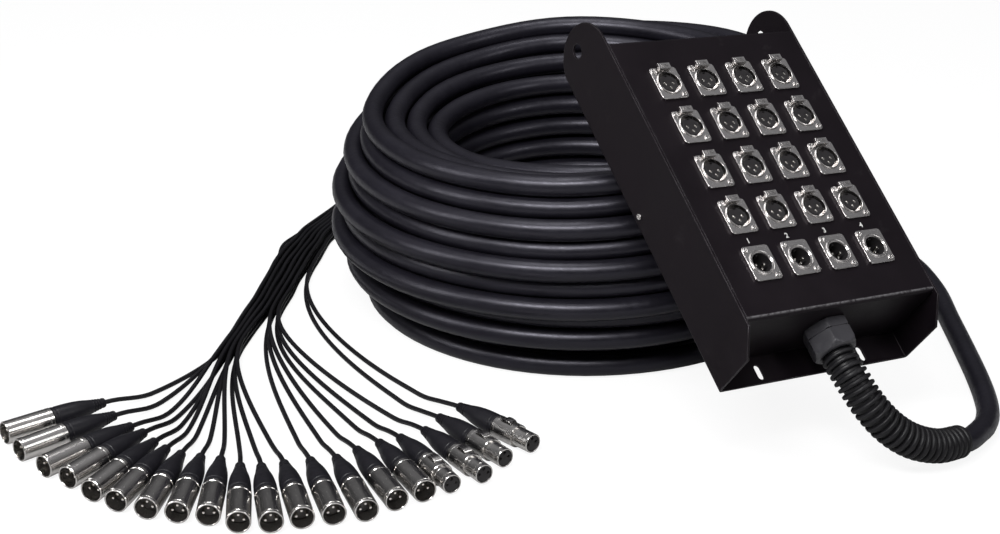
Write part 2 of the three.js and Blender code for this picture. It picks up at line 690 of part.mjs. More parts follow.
function cableBoot() {
  const ringAt = (length, radius) => {
    const { centre, heading } = bootStation(length);
    return ringRound(centre, heading, radius, RIB_POINTS);
  };
  const outside = [];
  const collarRadius = NUT_MOUTH_DIAMETER / 2 - BOOT_MOUTH_CLEARANCE;
  outside.push(ringAt(0, collarRadius), ringAt(bootCollar, collarRadius));
  for (let rib = 0; rib < RIB_COUNT; rib += 1) {
    const start = bootCollar + rib * RIB_PITCH;
    const valley = THREE.MathUtils.lerp(RIB_VALLEY_RADIUS, RIB_LAST_VALLEY_RADIUS, rib / RIB_COUNT);
    if (rib > 0) outside.push(ringAt(start, valley));
    outside.push(ringAt(start + RIB_PITCH / 2, RIB_CREST_RADIUS));
  }
  outside.push(ringAt(heldLength, RIB_LAST_VALLEY_RADIUS));
  const boreRadius = (CABLE_DIAMETER + BOOT_BORE_CLEARANCE * 2) / 2;
  const bore = heldStations().map((length) => ringAt(length, boreRadius));
  return solidOf(sleeve(outside, bore));
}

// Lengths at which the cable in the boot and the boot's bore have a ring
function heldStations() {
  const lengths = [0, bootCollar];
  for (let rib = RIBS_PER_BORE_RING; rib <= RIB_COUNT; rib += RIBS_PER_BORE_RING) {
    lengths.push(bootCollar + rib * RIB_PITCH);
  }
  return lengths;
}

// A closed skin with an outside, a bore and a flat rim at each end
function sleeve(outside, bore) {
  const sides = bore[0].length;
  const rings = [...outside, ...bore.slice().reverse()];
  const places = rings.flat().flatMap((point) => [point.x, point.y, point.z]);
  const faces = [];
  rings.forEach((_, ring) => {
    const next = (ring + 1) % rings.length;
    for (let side = 0; side < sides; side += 1) {
      const turn = (side + 1) % sides;
      const [a, b, c, d] = [ring * sides + side, ring * sides + turn, next * sides + turn, next * sides + side];
      faces.push(a, b, c, a, c, d);
    }
  });
  const geometry = new THREE.BufferGeometry();
  geometry.setAttribute('position', new THREE.Float32BufferAttribute(places, 3));
  geometry.setIndex(faces);
  return geometry;
}

// The cable where the box, gland and boot hold it
function heldCable() {
  const inside = wallPlace.clone().addScaledVector(outOfWall, -SHEET - JACKET_INSIDE);
  const rings = [ringRound(inside, outOfWall, CABLE_DIAMETER / 2, RIB_POINTS)];
  heldStations().forEach((length) => {
    const { centre, heading } = bootStation(length);
    rings.push(ringRound(centre, heading, CABLE_DIAMETER / 2, RIB_POINTS));
  });
  return solidOf(skin(rings.reverse()));
}

// The coil's outgoing end, up to the breakout behind the coil
const trunkRoute = [
  [24, 218, 26], [-23, 239, 18.5], [-68, 256, 11], [-106, 265, 8.2], [-138, 266, 8.5], [-166, 259, 10],
  [-184, 248, 11.2],
];
const breakoutHeading = at(-1, -1, 0).normalize();
const breakoutBack = at(-196, 237.5, BREAKOUT_COLLAR_RADIUS);
const trunkCurve = new THREE.CatmullRomCurve3([
  ...straightEnd(coilOut, headingAt(coilSteps)), ...trunkRoute.map(([x, y, z]) => at(x, y, z)),
  ...straightEnd(breakoutBack, breakoutHeading.clone().negate()).reverse(),
]);

// Breakout: a moulded sleeve that flattens from the round cable to the tails' bundle
function breakout() {
  const points = 16;
  const across = at(-1, 1, 0).normalize();
  const stationShares = [0, 0.35, 0.85, 1];
  const widthShares = [0, 0.15, 1, 0.94];
  const rings = stationShares.map((share, i) => {
    const halfWide = THREE.MathUtils.lerp(BREAKOUT_COLLAR_RADIUS, BREAKOUT_MOUTH_WIDTH / 2, widthShares[i]);
    const halfHigh = THREE.MathUtils.lerp(BREAKOUT_COLLAR_RADIUS, BREAKOUT_MOUTH_HEIGHT / 2, widthShares[i]);
    const centre = breakoutBack.clone().addScaledVector(breakoutHeading, share * BREAKOUT_LENGTH);
    centre.z = halfHigh;
    return Array.from({ length: points }, (_, point) => {
      const angle = (point * Math.PI * 2) / points;
      const place = centre.clone().addScaledVector(across, halfWide * Math.cos(angle));
      return place.add(at(0, 0, halfHigh * Math.sin(angle)));
    });
  });
  return solidOf(skin(rings));
}

// Bundle of tails on the floor: its centreline, and the station where each column of tails leaves it
const breakoutMouth = breakoutBack.clone().addScaledVector(breakoutHeading, BREAKOUT_LENGTH + SEAT_GAP);
const bundleRoute = [[-262, 124], [-277, 44], [-289, -54], [-303, -130]];
const bundlePoints = [breakoutMouth, ...bundleRoute.map(([x, y]) => at(x, y, 0))].map((point) => point.setZ(0));
const bundleHeadings = [
  breakoutHeading, at(-0.42, -0.91, 0), at(-0.14, -0.99, 0), at(-0.15, -0.99, 0), at(-0.19, -0.98, 0),
].map((heading) => heading.normalize());
const bundleHeight = TAIL_DIAMETER + BUNDLE_MARGIN * 2 + (BUNDLE_LAYERS - 1) * BUNDLE_PITCH;
const mouthLift = (BREAKOUT_MOUTH_HEIGHT - bundleHeight) / 2;
const leaveStations = [4, 4, 4, 4, 3, 3, 2];
const bundleColumns = leaveStations.length;

// Places of the plugs' rear ends on the floor, and the way that each plug points, from left to right
const plugRoute = [
  [-404, -269, -141], [-391, -293, -136], [-374, -313, -129], [-362, -324, -121], [-351, -340, -113],
  [-340, -352, -106], [-327, -361, -98.5], [-311, -366, -93.5], [-295, -370, -88.5], [-278.4, -381, -84],
  [-262, -382, -79], [-245, -377, -75.5], [-225, -372, -73.5], [-205, -368, -71], [-190, -354, -66.5],
  [-173, -342, -64], [-157, -333, -61], [-138, -320, -57], [-127, -297, -53], [-111, -277, -48],
];

function bundlePlace(station, column, layer) {
  const heading = bundleHeadings[station];
  const across = at(-heading.y, heading.x, 0);
  const offset = (column - (bundleColumns - 1) / 2) * BUNDLE_PITCH;
  const lift = TAIL_DIAMETER / 2 + BUNDLE_MARGIN + layer * BUNDLE_PITCH + (station === 0 ? mouthLift : 0);
  return bundlePoints[station].clone().addScaledVector(across, offset).setZ(lift);
}

// Tails that leave together lie side by side in one bundle with a lobed outline, up to where they part
function bundlePart(first, count) {
  const half = TAIL_DIAMETER / 2 + BUNDLE_MARGIN;
  const dip = half * Math.SQRT1_2;
  const [wide, high] = [(count - 1) * BUNDLE_PITCH, (BUNDLE_LAYERS - 1) * BUNDLE_PITCH];
  const outline = [[-dip, -half], [wide + dip, -half], [wide + half, 0], [wide + half, high]];
  outline.push([wide + dip, high + dip]);
  for (let column = count - 1; column >= 0; column -= 1) {
    outline.push([column * BUNDLE_PITCH, high + half], [column * BUNDLE_PITCH - dip, high + dip]);
  }
  outline.push([-half, high], [-half, 0]);
  const rings = [];
  for (let station = 0; station <= leaveStations[first]; station += 1) {
    const heading = bundleHeadings[station];
    const across = at(-heading.y, heading.x, 0);
    const foot = bundlePlace(station, first, 0);
    rings.push(outline.map(([x, z]) => foot.clone().addScaledVector(across, x).add(at(0, 0, z))));
  }
  return solidOf(skin(rings));
}

// A tail's free stretch from the bundle to its plug
function tailPoints(tail) {
  const column = Math.floor(tail / BUNDLE_LAYERS);
  const layer = tail % BUNDLE_LAYERS;
  const station = leaveStations[column];
  const start = bundlePlace(station, column, layer);
  const [x, y, degreesRound] = plugRoute[tail];
  const plugHeading = at(Math.cos(degreesRound * degrees), Math.sin(degreesRound * degrees), 0);
  const end = at(x, y, PLUG_RADIUS).addScaledVector(plugHeading, -SEAT_GAP);
  const reach = start.distanceTo(end);
  const leave = start.clone().addScaledVector(bundleHeadings[station], reach / 3);
  const arrive = end.clone().addScaledVector(plugHeading, -reach / 3);
  const flat = new THREE.CubicBezierCurve3(start, leave, arrive, end);
  const points = flat.getSpacedPoints(TAIL_ROUTE_POINTS);
  const lowest = TAIL_DIAMETER / 2;
  return points.map((point, i) => {
    const along = i / (points.length - 1);
    const drop = 1 - THREE.MathUtils.smoothstep(along, TAIL_DROP_START_SHARE, TAIL_DROP_END_SHARE);
    const rise = 1 - THREE.MathUtils.smoothstep(reach * (1 - along), 0, TAIL_SETTLE);
    return point.clone().setZ(lowest + (start.z - lowest) * drop + (end.z - lowest) * rise);
  });
}

function tailFan() {
  const parts = leaveStations.flatMap((station, column) => {
    if (leaveStations[column - 1] === station) return [];
    return [bundlePart(column, leaveStations.filter((other) => other === station).length)];
  });
  const tails = plugRoute.map((_, tail) => {
    const points = tailPoints(tail);
    const station = leaveStations[Math.floor(tail / BUNDLE_LAYERS)];
    const lead = points[0].clone().addScaledVector(bundleHeadings[station], -OVERRUN);
    const steps = station < bundleHeadings.length - 1 ? CURLING_TAIL_STEPS : TAIL_STEPS;
    return cordTube(new THREE.CatmullRomCurve3([lead, ...points]), TAIL_DIAMETER / 2, TAIL_SIDES, steps);
  });
  return joined([...parts, ...tails]);
}

// Line plugs are drawn along +Z from the rear of the boot
const plugBack = [
  [0, 0], [BOOT_TIP_RADIUS, 0], [BOOT_END_RADIUS, BOOT_LENGTH], [PLUG_RADIUS, BARREL_START],
];

function inputPlug() {
  const floor = PLUG_LENGTH - PLUG_BORE_DEPTH;
  const body = turned([...plugBack, [PLUG_RADIUS, PLUG_LENGTH], [PLUG_BORE_RADIUS, PLUG_LENGTH],
    [PLUG_BORE_RADIUS, floor], [0, floor]], PLUG_SEGMENTS);
  const pins = contactPlaces.map(([x, y]) =>
    rod(PIN_DIAMETER / 2, floor - OVERRUN, floor + PLUG_PIN_LENGTH, PIN_SIDES).translate([x, y, 0]));
  return joined([body, ...pins]);
}

const noseStart = PLUG_LENGTH - NOSE_LENGTH;
const buttonStart = noseStart - BUTTON_FROM_NOSE - BUTTON_LENGTH;
const buttonFloor = PLUG_RADIUS - BUTTON_SUNK - BUTTON_TRAVEL - SEAT_GAP;

function returnPlug() {
  const face = PLUG_LENGTH - NOSE_RECESS;
  const body = turned([...plugBack, [PLUG_RADIUS, noseStart], [NOSE_RADIUS, noseStart],
    [NOSE_RADIUS, PLUG_LENGTH], [NOSE_RADIUS - NOSE_RIM, PLUG_LENGTH], [NOSE_RADIUS - NOSE_RIM, face], [0, face]],
  PLUG_SEGMENTS);
  const holes = contactPlaces.map(([x, y]) =>
    rod(PIN_HOLE_DIAMETER / 2, face - PIN_HOLE_DEPTH, PLUG_LENGTH, PIN_SIDES).translate([x, y, 0]));
  const half = BUTTON_WIDTH / 2 + RUNNING_GAP;
  const pocket = block(at(-half, buttonFloor, buttonStart - RUNNING_GAP),
    at(half, PLUG_RADIUS + OVERRUN, buttonStart + BUTTON_LENGTH + RUNNING_GAP));
  return body.subtract(joined([...holes, pocket]));
}

function plugButton() {
  const [low, high] = [PLUG_RADIUS - BUTTON_SUNK, PLUG_RADIUS + BUTTON_PROUD];
  const outline = new THREE.Shape();
  outline.moveTo(buttonStart, low);
  outline.lineTo(buttonStart + BUTTON_LENGTH, low);
  outline.lineTo(buttonStart + BUTTON_LENGTH, high - BUTTON_PROUD);
  outline.lineTo(buttonStart + BUTTON_LENGTH / 2, high);
  outline.lineTo(buttonStart, high - BUTTON_PROUD / 2);
  outline.closePath();
  const geometry = new THREE.ExtrudeGeometry(outline, { depth: BUTTON_WIDTH, bevelEnabled: false });
  return solidOf(geometry.rotateY(-Math.PI / 2).translate(BUTTON_WIDTH / 2, 0, 0));
}

// Assembly
const snake = new THREE.Group();
const floorGroup = new THREE.Group();
snake.add(floorGroup);
floorGroup.add(box);

const twoDigits = (number) => String(number).padStart(2, '0');

box.add(pieceOf('base_chassis', baseChassis(), paint));
box.add(pieceOf('top_cover', topCover(), paint));
box.add(pieceOf('gland_body', glandBody(), nickel));
box.add(pieceOf('gland_locknut', glandLocknut(), nickel));
box.add(pieceOf('gland_nut', glandNut(), nickel));
box.add(pieceOf('inner_loom', innerLoom(), wire));

const tabSolid = latchTab();
const returnSolid = returnSocket();
for (let column = 0; column < SOCKET_COLUMNS; column += 1) {
  for (let row = 0; row < INPUT_ROWS; row += 1) {
    const name = `socket_latch_${twoDigits(row * SOCKET_COLUMNS + column + 1)}`;
    const tab = pieceOf(name, tabSolid, nickel);
    tab.position.set(columnPlace(column), rowPlace(row), panelTop);
    box.add(tab);
  }
  const socket = pieceOf(`return_socket_${column + 1}`, returnSolid, nickel);
  socket.position.set(columnPlace(column), rowPlace(INPUT_ROWS), panelTop);
  box.add(socket);
}

floorGroup.add(pieceOf('held_cable', heldCable(), jacket));
floorGroup.add(pieceOf('cable_boot', cableBoot(), jacket));
floorGroup.add(pieceOf('cable_loop', aboveFloor(cordTube(loopCurve, CABLE_DIAMETER / 2, CABLE_SIDES,
  CABLE_LOOP_STEPS)), jacket));
floorGroup.add(pieceOf('cable_coil', cableCoil(), jacket));
floorGroup.add(pieceOf('coil_core', coilCore(), jacket));
floorGroup.add(pieceOf('trunk_end', aboveFloor(cordTube(trunkCurve, CABLE_DIAMETER / 2, CABLE_SIDES,
  TRUNK_STEPS)), jacket));
floorGroup.add(pieceOf('breakout', breakout(), jacket));
floorGroup.add(pieceOf('tail_fan', tailFan(), jacket));

// Each plug lies on the floor at its tail's end; the last four tails are the returns
const inputPlugSolid = inputPlug();
const returnPlugSolid = returnPlug();
const buttonSolid = plugButton();
const inputCount = SOCKET_COLUMNS * INPUT_ROWS;
plugRoute.forEach(([x, y, degreesRound], tail) => {
  const holder = new THREE.Group();
  holder.position.set(x, y, PLUG_RADIUS);
  const ahead = at(Math.cos(degreesRound * degrees), Math.sin(degreesRound * degrees), 0);
  const up = at(0, 0, 1);
  holder.setRotationFromMatrix(new THREE.Matrix4().makeBasis(up.clone().cross(ahead), up, ahead));
  if (tail < inputCount) {
    holder.add(pieceOf(`input_plug_${twoDigits(tail + 1)}`, inputPlugSolid, nickel));
  } else {
    const number = tail - inputCount + 1;
    holder.add(pieceOf(`return_plug_${number}`, returnPlugSolid, nickel));
    holder.add(pieceOf(`plug_latch_${number}`, buttonSolid, nickel));
  }
  floorGroup.add(holder);
});

// The origin moves from the coil's centre to the flat under its outer turn, at the front
floorGroup.position.set(0, COIL_BOTTOM_RADIUS * Math.cos(Math.PI / COIL_TURN_STEPS), 0);
snake.updateMatrixWorld(true);

const coilGap = leastCoilGap();
console.log(`coil: ${coilTurns} turns, least gap between turns ${coilGap.toFixed(2)} mm`);
if (coilGap < LEAST_COIL_GAP) throw new Error('the coil touches itself');

export default snake;
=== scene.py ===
"""The finished look of a stage box snake: a steel socket box, its coiled multicore and a fan of plug tails.

The box leans on the coil. Lengths are in metres, in the frame of the solids: z = 0 is the floor, and the
box's cable end faces the camera.
"""

import logging
import math
from dataclasses import dataclass
from enum import Enum
from typing import Callable, Iterable, Sequence

import bmesh
import bpy
import numpy as np
from mathutils import Matrix, Vector, noise


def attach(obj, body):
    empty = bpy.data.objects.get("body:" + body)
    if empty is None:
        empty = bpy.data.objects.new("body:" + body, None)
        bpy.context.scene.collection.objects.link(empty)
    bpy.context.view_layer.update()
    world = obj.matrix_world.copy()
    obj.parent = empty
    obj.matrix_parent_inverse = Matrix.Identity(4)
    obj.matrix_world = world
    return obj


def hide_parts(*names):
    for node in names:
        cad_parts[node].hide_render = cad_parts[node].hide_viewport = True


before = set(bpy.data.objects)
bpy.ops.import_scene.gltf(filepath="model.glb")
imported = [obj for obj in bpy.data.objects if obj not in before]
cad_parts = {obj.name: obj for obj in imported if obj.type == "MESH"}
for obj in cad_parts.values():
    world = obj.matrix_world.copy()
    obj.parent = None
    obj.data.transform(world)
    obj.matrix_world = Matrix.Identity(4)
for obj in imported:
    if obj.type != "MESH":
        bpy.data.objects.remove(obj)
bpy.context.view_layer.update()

log = logging.getLogger("stage_box_snake")

LAY_SEED = 7
STATIC_BODY = "snake"
COLUMNS = 4
INPUT_ROWS = 4
ROWS = 5
INPUTS = COLUMNS * INPUT_ROWS
COIL_CENTRE_Y = 0.19655
SEAT_GAP = 0.0003
CABLE_DIAMETER = 0.019
TAIL_DIAMETER = 0.004
# Mesh attribute of the near fold, which is painted lighter: partly wear, partly a painted highlight along the
# bend
WEAR_HIGHLIGHT_MASK = "rub"
CONTACT_SPREAD = 0.00396
CONTACT_PLACES = ((-CONTACT_SPREAD, 0.0), (CONTACT_SPREAD, 0.0), (0.0, -CONTACT_SPREAD))

# Back of the breakout sleeve, in millimetres from the coil's centre, and the direction in which it points
BREAKOUT_BACK = (-196, 237.5, 11.6)
BREAKOUT_AWAY = Vector((-1, -1, 0)).normalized()

# Angles above which an edge stays sharp
TUBE_SHARP_DEG = 32.0
TURNED_SHARP_DEG = 28.0
SHEET_SHARP_DEG = 40.0
RIBBED_SHARP_DEG = 50.0

Mesh = bpy.types.Mesh
Object = bpy.types.Object
Material = bpy.types.Material
Socket = bpy.types.NodeSocket
Pair = tuple[float, float]
Triple = tuple[float, float, float]
Colour = tuple[float, float, float]

# The unevenness of the hand-laid cable is the same in every run
noise.seed_set(LAY_SEED)


class ContactKind(Enum):
    """Whether a connector has pins or sleeves."""

    PINS = "pins"
    SLEEVES = "sleeves"


# Small geometry tools


def from_coil(x: float, y: float, z: float) -> Vector:
    """Point given in millimetres from the coil's centre, as metres in the shared frame."""
    return Vector((x / 1000, y / 1000 + COIL_CENTRE_Y, z / 1000))


def smoothstep(value: float, low: float, high: float) -> float:
    """Smooth step from 0 at low to 1 at high."""
    share = min(max((value - low) / (high - low), 0.0), 1.0)
    return share * share * (3 - 2 * share)


def lerp(start: float, end: float, share: float) -> float:
    """Value a share of the way from start to end."""
    return start + (end - start) * share


def circle(radius: float, points: int, centre: Pair = (0.0, 0.0)) -> list[Pair]:
    """Points round a circle, anticlockwise.

    Args:
        radius: Radius of the circle.
        points: Number of points.
        centre: Centre of the circle.

    Returns:
        The points in order.
    """
    angles = [math.tau * i / points for i in range(points)]
    return [(centre[0] + radius * math.cos(angle), centre[1] + radius * math.sin(angle)) for angle in angles]


def rounded_rectangle(
    width: float, height: float, corner: float, steps: int = 6, centre: Pair = (0.0, 0.0)
) -> list[Pair]:
    """Outline of a rectangle with round corners, anticlockwise.

    Args:
        width: Size along x.
        height: Size along y.
        corner: Radius of the corners.
        steps: Straight steps in each corner.
        centre: Middle of the rectangle.

    Returns:
        The outline's points.
    """
    outline = []
    for quarter, (sx, sy) in enumerate(((1, 1), (-1, 1), (-1, -1), (1, -1))):
        for step in range(steps + 1):
            angle = (quarter + step / steps) * math.pi / 2
            x = centre[0] + sx * (width / 2 - corner) + corner * math.cos(angle)
            y = centre[1] + sy * (height / 2 - corner) + corner * math.sin(angle)
            outline.append((x, y))
    return outline


def capsule(width: float, length: float, centre: Pair, steps: int = 8) -> list[Pair]:
    """Outline of a slot with round ends that runs along y.

    Args:
        width: Width of the slot.
        length: Length over its round ends.
        centre: Middle of the slot.
        steps: Straight steps in each end.

    Returns:
        The outline's points.
    """
    half = (length - width) / 2
    outline = []
    for end, start_angle in ((1, 0.0), (-1, math.pi)):
        for step in range(steps + 1):
            angle = start_angle + math.pi * step / steps
            x = centre[0] + width / 2 * math.cos(angle)
            y = centre[1] + end * half + width / 2 * math.sin(angle)
            outline.append((x, y))
    return outline


class Route:
    """A smooth line through chosen points, walked by its length."""

    def __init__(self, knots: Sequence[Vector], steps: int = 24) -> None:
        """Draws the line.

        Args:
            knots: The points that the line passes through.
            steps: Straight steps between two points.
        """
        self.points: list[Vector] = []
        count = len(knots)
        for i in range(count - 1):
            before = knots[i - 1] if i > 0 else knots[0] * 2 - knots[1]
            after = knots[i + 2] if i + 2 < count else knots[-1] * 2 - knots[-2]
            for step in range(steps):
                self.points.append(self._between(before, knots[i], knots[i + 1], after, step / steps))
        self.points.append(knots[-1].copy())
        self.lengths = [0.0]
        for a, b in zip(self.points, self.points[1:]):
            self.lengths.append(self.lengths[-1] + (b - a).length)

    @staticmethod
    def _between(before: Vector, start: Vector, end: Vector, after: Vector, share: float) -> Vector:
        """Point between two knots, on a curve whose knots are spaced by the root of their distances.

        Args:
            before: The knot before start.
            start: The knot where the stretch starts.
            end: The knot where it ends.
            after: The knot after end.
            share: Share of the way from start to end.

        Returns:
            The point.
        """
        gap = max((end - start).length ** 0.5, 1e-6)
        first = (start - before).length ** 0.5 or gap
        last = (after - end).length ** 0.5 or gap
        lead = ((start - before) / first - (end - before) / (first + gap) + (end - start) / gap) * gap
        tail = ((end - start) / gap - (after - start) / (gap + last) + (after - end) / last) * gap
        square = share * share
        cube = square * share
        return (
            start * (2 * cube - 3 * square + 1)
            + lead * (cube - 2 * square + share)
            + end * (3 * square - 2 * cube)
            + tail * (cube - square)
        )

    @property
    def length(self) -> float:
        """Length of the whole line."""
        return self.lengths[-1]

    def at(self, length: float) -> Vector:
        """Point at a length along the line.

        Args:
            length: Length from the start, held within the line.

        Returns:
            The point.
        """
        length = min(max(length, 0.0), self.length)
        low, high = 0, len(self.lengths) - 1
        while high - low > 1:
            middle = (low + high) // 2
            if self.lengths[middle] <= length:
                low = middle
            else:
                high = middle
        span = self.lengths[high] - self.lengths[low]
        share = (length - self.lengths[low]) / span if span else 0.0
        return self.points[low].lerp(self.points[high], share)

    def heading(self, length: float) -> Vector:
        """Direction of the line at a length along it."""
        return (self.at(length + 0.0004) - self.at(length - 0.0004)).normalized()

    def spaced(self, spacing: float) -> list[Vector]:
        """Points at an even spacing, both ends included."""
        count = max(2, round(self.length / spacing))
        return [self.at(self.length * i / count) for i in range(count + 1)]


def new_object(name: str, data: bpy.types.ID, place: Matrix | None = None) -> Object:
    """Object that shows a mesh, linked to the scene.

    Args:
        name: Name of the object.
        data: The mesh, or a curve, a camera or a lamp.
        place: Where it goes, or None where its mesh is drawn in place.

    Returns:
        The object.
    """
    made = bpy.data.objects.new(name, data)
    bpy.context.scene.collection.objects.link(made)
    if place is not None:
        made.matrix_world = place
    return made


def shade(mesh: Mesh, angle_deg: float) -> Mesh:
    """Smooth shading with sharp edges above an angle.

    Args:
        mesh: The mesh, which is changed.
        angle_deg: Angle above which an edge stays sharp.

    Returns:
        The same mesh.
    """
    mesh.polygons.foreach_set("use_smooth", [True] * len(mesh.polygons))
    mesh.set_sharp_from_angle(angle=math.radians(angle_deg))
    return mesh


def mesh_from(
    name: str, places: Iterable[Sequence[float]], faces: Iterable[Sequence[int]], angle_deg: float
) -> Mesh:
    """Shaded mesh from places and faces.

    Args:
        name: Name of the mesh.
        places: Vertex places.
        faces: Vertex numbers of each face.
        angle_deg: Angle above which an edge stays sharp.

    Returns:
        The mesh.
    """
    mesh = bpy.data.meshes.new(name)
    mesh.from_pydata([tuple(p) for p in places], [], [tuple(f) for f in faces])
    mesh.validate()
    return shade(mesh, angle_deg)


def skinned(name: str, rings: Sequence[Sequence[Vector]], angle_deg: float) -> Mesh:
    """Closed mesh over rings of equal counts of points, with flat ends.

    Args:
        name: Name of the mesh.
        rings: The rings in order.
        angle_deg: Angle above which an edge stays sharp.

    Returns:
        The mesh.
    """
    sides = len(rings[0])
    places = [p for ring in rings for p in ring]
    faces: list[tuple[int, ...]] = []
    for low in range(0, (len(rings) - 1) * sides, sides):
        high = low + sides
        for side in range(sides):
            turn = (side + 1) % sides
            faces.append((low + side, low + turn, high + turn, high + side))
    faces.append(tuple(reversed(range(sides))))
    faces.append(tuple(range(len(places) - sides, len(places))))
    return mesh_from(name, places, faces, angle_deg)


def rings_along(stations: Iterable[tuple[Vector, Vector, float]], sides: int) -> list[list[Vector]]:
    """Rings across a line, turned so that they don't twist.

    Args:
        stations: Centre, heading and radius of each ring.
        sides: Points in each ring.

    Returns:
        The rings in order.
    """
    turns = [(math.cos(math.tau * side / sides), math.sin(math.tau * side / sides)) for side in range(sides)]
    rings = []
    across = None
    for centre, heading, radius in stations:
        if across is None:
            across = heading.cross(Vector((0, 0, 1)))
        across = (across - heading * across.dot(heading)).normalized()
        up = across.cross(heading)
        rings.append([centre + (up * cosine + across * sine) * radius for cosine, sine in turns])
    return rings


def tube(name: str, path: Sequence[Vector], radius: float, sides: int) -> Mesh:
    """Round tube along a path.

    Args:
        name: Name of the mesh.
        path: Centre of each ring.
        radius: Radius of the tube.
        sides: Points in each ring.

    Returns:
        The mesh.
    """
    last = len(path) - 1
    headings = [(path[min(i + 1, last)] - path[max(i - 1, 0)]).normalized() for i in range(len(path))]
    rings = rings_along([(centre, heading, radius) for centre, heading in zip(path, headings)], sides)
    return skinned(name, rings, TUBE_SHARP_DEG)


def turned(
    name: str,
    profile: Sequence[Pair],
    segments: int,
    clip: Callable[[float], float] | None = None,
) -> Mesh:
    """Solid of revolution about z.

    Args:
        name: Name of the mesh.
        profile: Radius and height pairs. It closes on itself, or on the axis where its ends have radius 0.
        segments: Points round the axis.
        clip: Greatest radius at an angle, for flats such as a hexagon's.

    Returns:
        The mesh.
    """
    on_axis = profile[0][0] == 0.0 and profile[-1][0] == 0.0
    places: list[Triple] = []
    rings: list[list[int]] = []
    for radius, height in profile:
        if radius == 0.0:
            rings.append([len(places)] * segments)
            places.append((0.0, 0.0, height))
            continue
        ring = []
        for segment in range(segments):
            angle = math.tau * segment / segments
            reach = min(radius, clip(angle)) if clip else radius
            ring.append(len(places))
            places.append((reach * math.cos(angle), reach * math.sin(angle), height))
        rings.append(ring)
    faces = []
    last = len(rings) - 1 if on_axis else len(rings)
    for i in range(last):
        low, high = rings[i], rings[(i + 1) % len(rings)]
        for segment in range(segments):
            turn = (segment + 1) % segments
            face = [low[segment], low[turn], high[turn], high[segment]]
            face = [v for k, v in enumerate(face) if v != face[k - 1]]
            if len(set(face)) > 2:
                faces.append(tuple(face))
    return mesh_from(name, places, faces, TURNED_SHARP_DEG)


def baked(piece: Object) -> Mesh:
    """Mesh of an object as it is shown, with the object taken away.

    Args:
        piece: The object, with its modifiers or its curve.

    Returns:
        The new mesh.
    """
    bpy.context.view_layer.update()
    mesh = bpy.data.meshes.new_from_object(piece.evaluated_get(bpy.context.evaluated_depsgraph_get()))
    bpy.data.objects.remove(piece)
    return mesh


def hexagon_reach(across: float) -> Callable[[float], float]:
    """Reach of a hexagon at an angle, from its size across the flats."""
    return lambda angle: across / 2 / math.cos(angle % (math.pi / 3) - math.pi / 6)


def plate(
    name: str,
    outline: Sequence[Pair],
    holes: Sequence[Sequence[Pair]],
    low: float,
    high: float,
    bevel: float = 0.0003,
    steps: int = 2,
) -> Mesh:
    """Flat plate with holes and rounded edges.

    Args:
        name: Name of the mesh.
        outline: Outer outline, anticlockwise.
        holes: Outlines of the holes, anticlockwise.
        low: Height of the underside.
        high: Height of the top.
        bevel: Radius of the rounded edges.
        steps: Bevel resolution.

    Returns:
        The mesh, closed.
    """
    curve = bpy.data.curves.new(name, "CURVE")
    curve.dimensions = "2D"
    curve.fill_mode = "BOTH"
    curve.extrude = (high - low) / 2 - bevel
    curve.bevel_depth = bevel
    curve.bevel_resolution = steps
    curve.offset = -bevel
    for loop in (list(outline), *[list(reversed(hole)) for hole in holes]):
        spline = curve.splines.new("POLY")
        spline.points.add(len(loop) - 1)
        for point, (x, y) in zip(spline.points, loop):
            point.co = (x, y, 0, 1)
        spline.use_cyclic_u = True
    mesh = baked(new_object(name, curve))
    bpy.data.curves.remove(curve)
    mesh.transform(Matrix.Translation((0, 0, (low + high) / 2)))
    sewn = bmesh.new()
    sewn.from_mesh(mesh)
    bmesh.ops.remove_doubles(sewn, verts=sewn.verts, dist=1e-6)
    bmesh.ops.recalc_face_normals(sewn, faces=sewn.faces)
    sewn.to_mesh(mesh)
    sewn.free()
    mesh.materials.clear()
    mesh.name = name
    return shade(mesh, SHEET_SHARP_DEG)


@dataclass(frozen=True)
class Part:
    """A mesh with its finish and its place in a piece."""

    mesh: Mesh
    material: Material
    place: Matrix = Matrix.Identity(4)


def assembled(name: str, parts: Sequence[Part]) -> Mesh:
    """One mesh of several parts, each with its own finish.

    Args:
        name: Name of the mesh.
        parts: The parts.

    Returns:
        The joined mesh.
    """
    whole = bmesh.new()
    materials: list[Material] = []
    for part in parts:
        if part.material not in materials:
            materials.append(part.material)
        copy = part.mesh.copy()
        copy.transform(part.place)
        copy.polygons.foreach_set("material_index", [materials.index(part.material)] * len(copy.polygons))
        whole.from_mesh(copy)
        bpy.data.meshes.remove(copy)
    mesh = bpy.data.meshes.new(name)
    whole.to_mesh(mesh)
    whole.free()
    for material in materials:
        mesh.materials.append(material)
    return mesh


def cut_away(body: Mesh, cutter: Mesh) -> Mesh:
    """Mesh of a closed body less a closed cutter.

    Args:
        body: What is cut.
        cutter: What is taken away.

    Returns:
        A new mesh.
    """
    whole, tool = new_object("cut_body", body), new_object("cut_tool", cutter)
    modifier = whole.modifiers.new("cut", "BOOLEAN")
    modifier.operation = "DIFFERENCE"
    modifier.solver = "EXACT"
    modifier.object = tool
    result = baked(whole)
    bpy.data.objects.remove(tool)
    return shade(result, TUBE_SHARP_DEG)


def softened(mesh: Mesh) -> Mesh:
    """Mesh whose flats shade flat right up to its rounded edges.

    Args:
        mesh: The mesh that is copied.

    Returns:
        The new mesh.
    """
    shown = new_object("softened", mesh)
    modifier = shown.modifiers.new("normals", "WEIGHTED_NORMAL")
    modifier.keep_sharp = True
    return baked(shown)


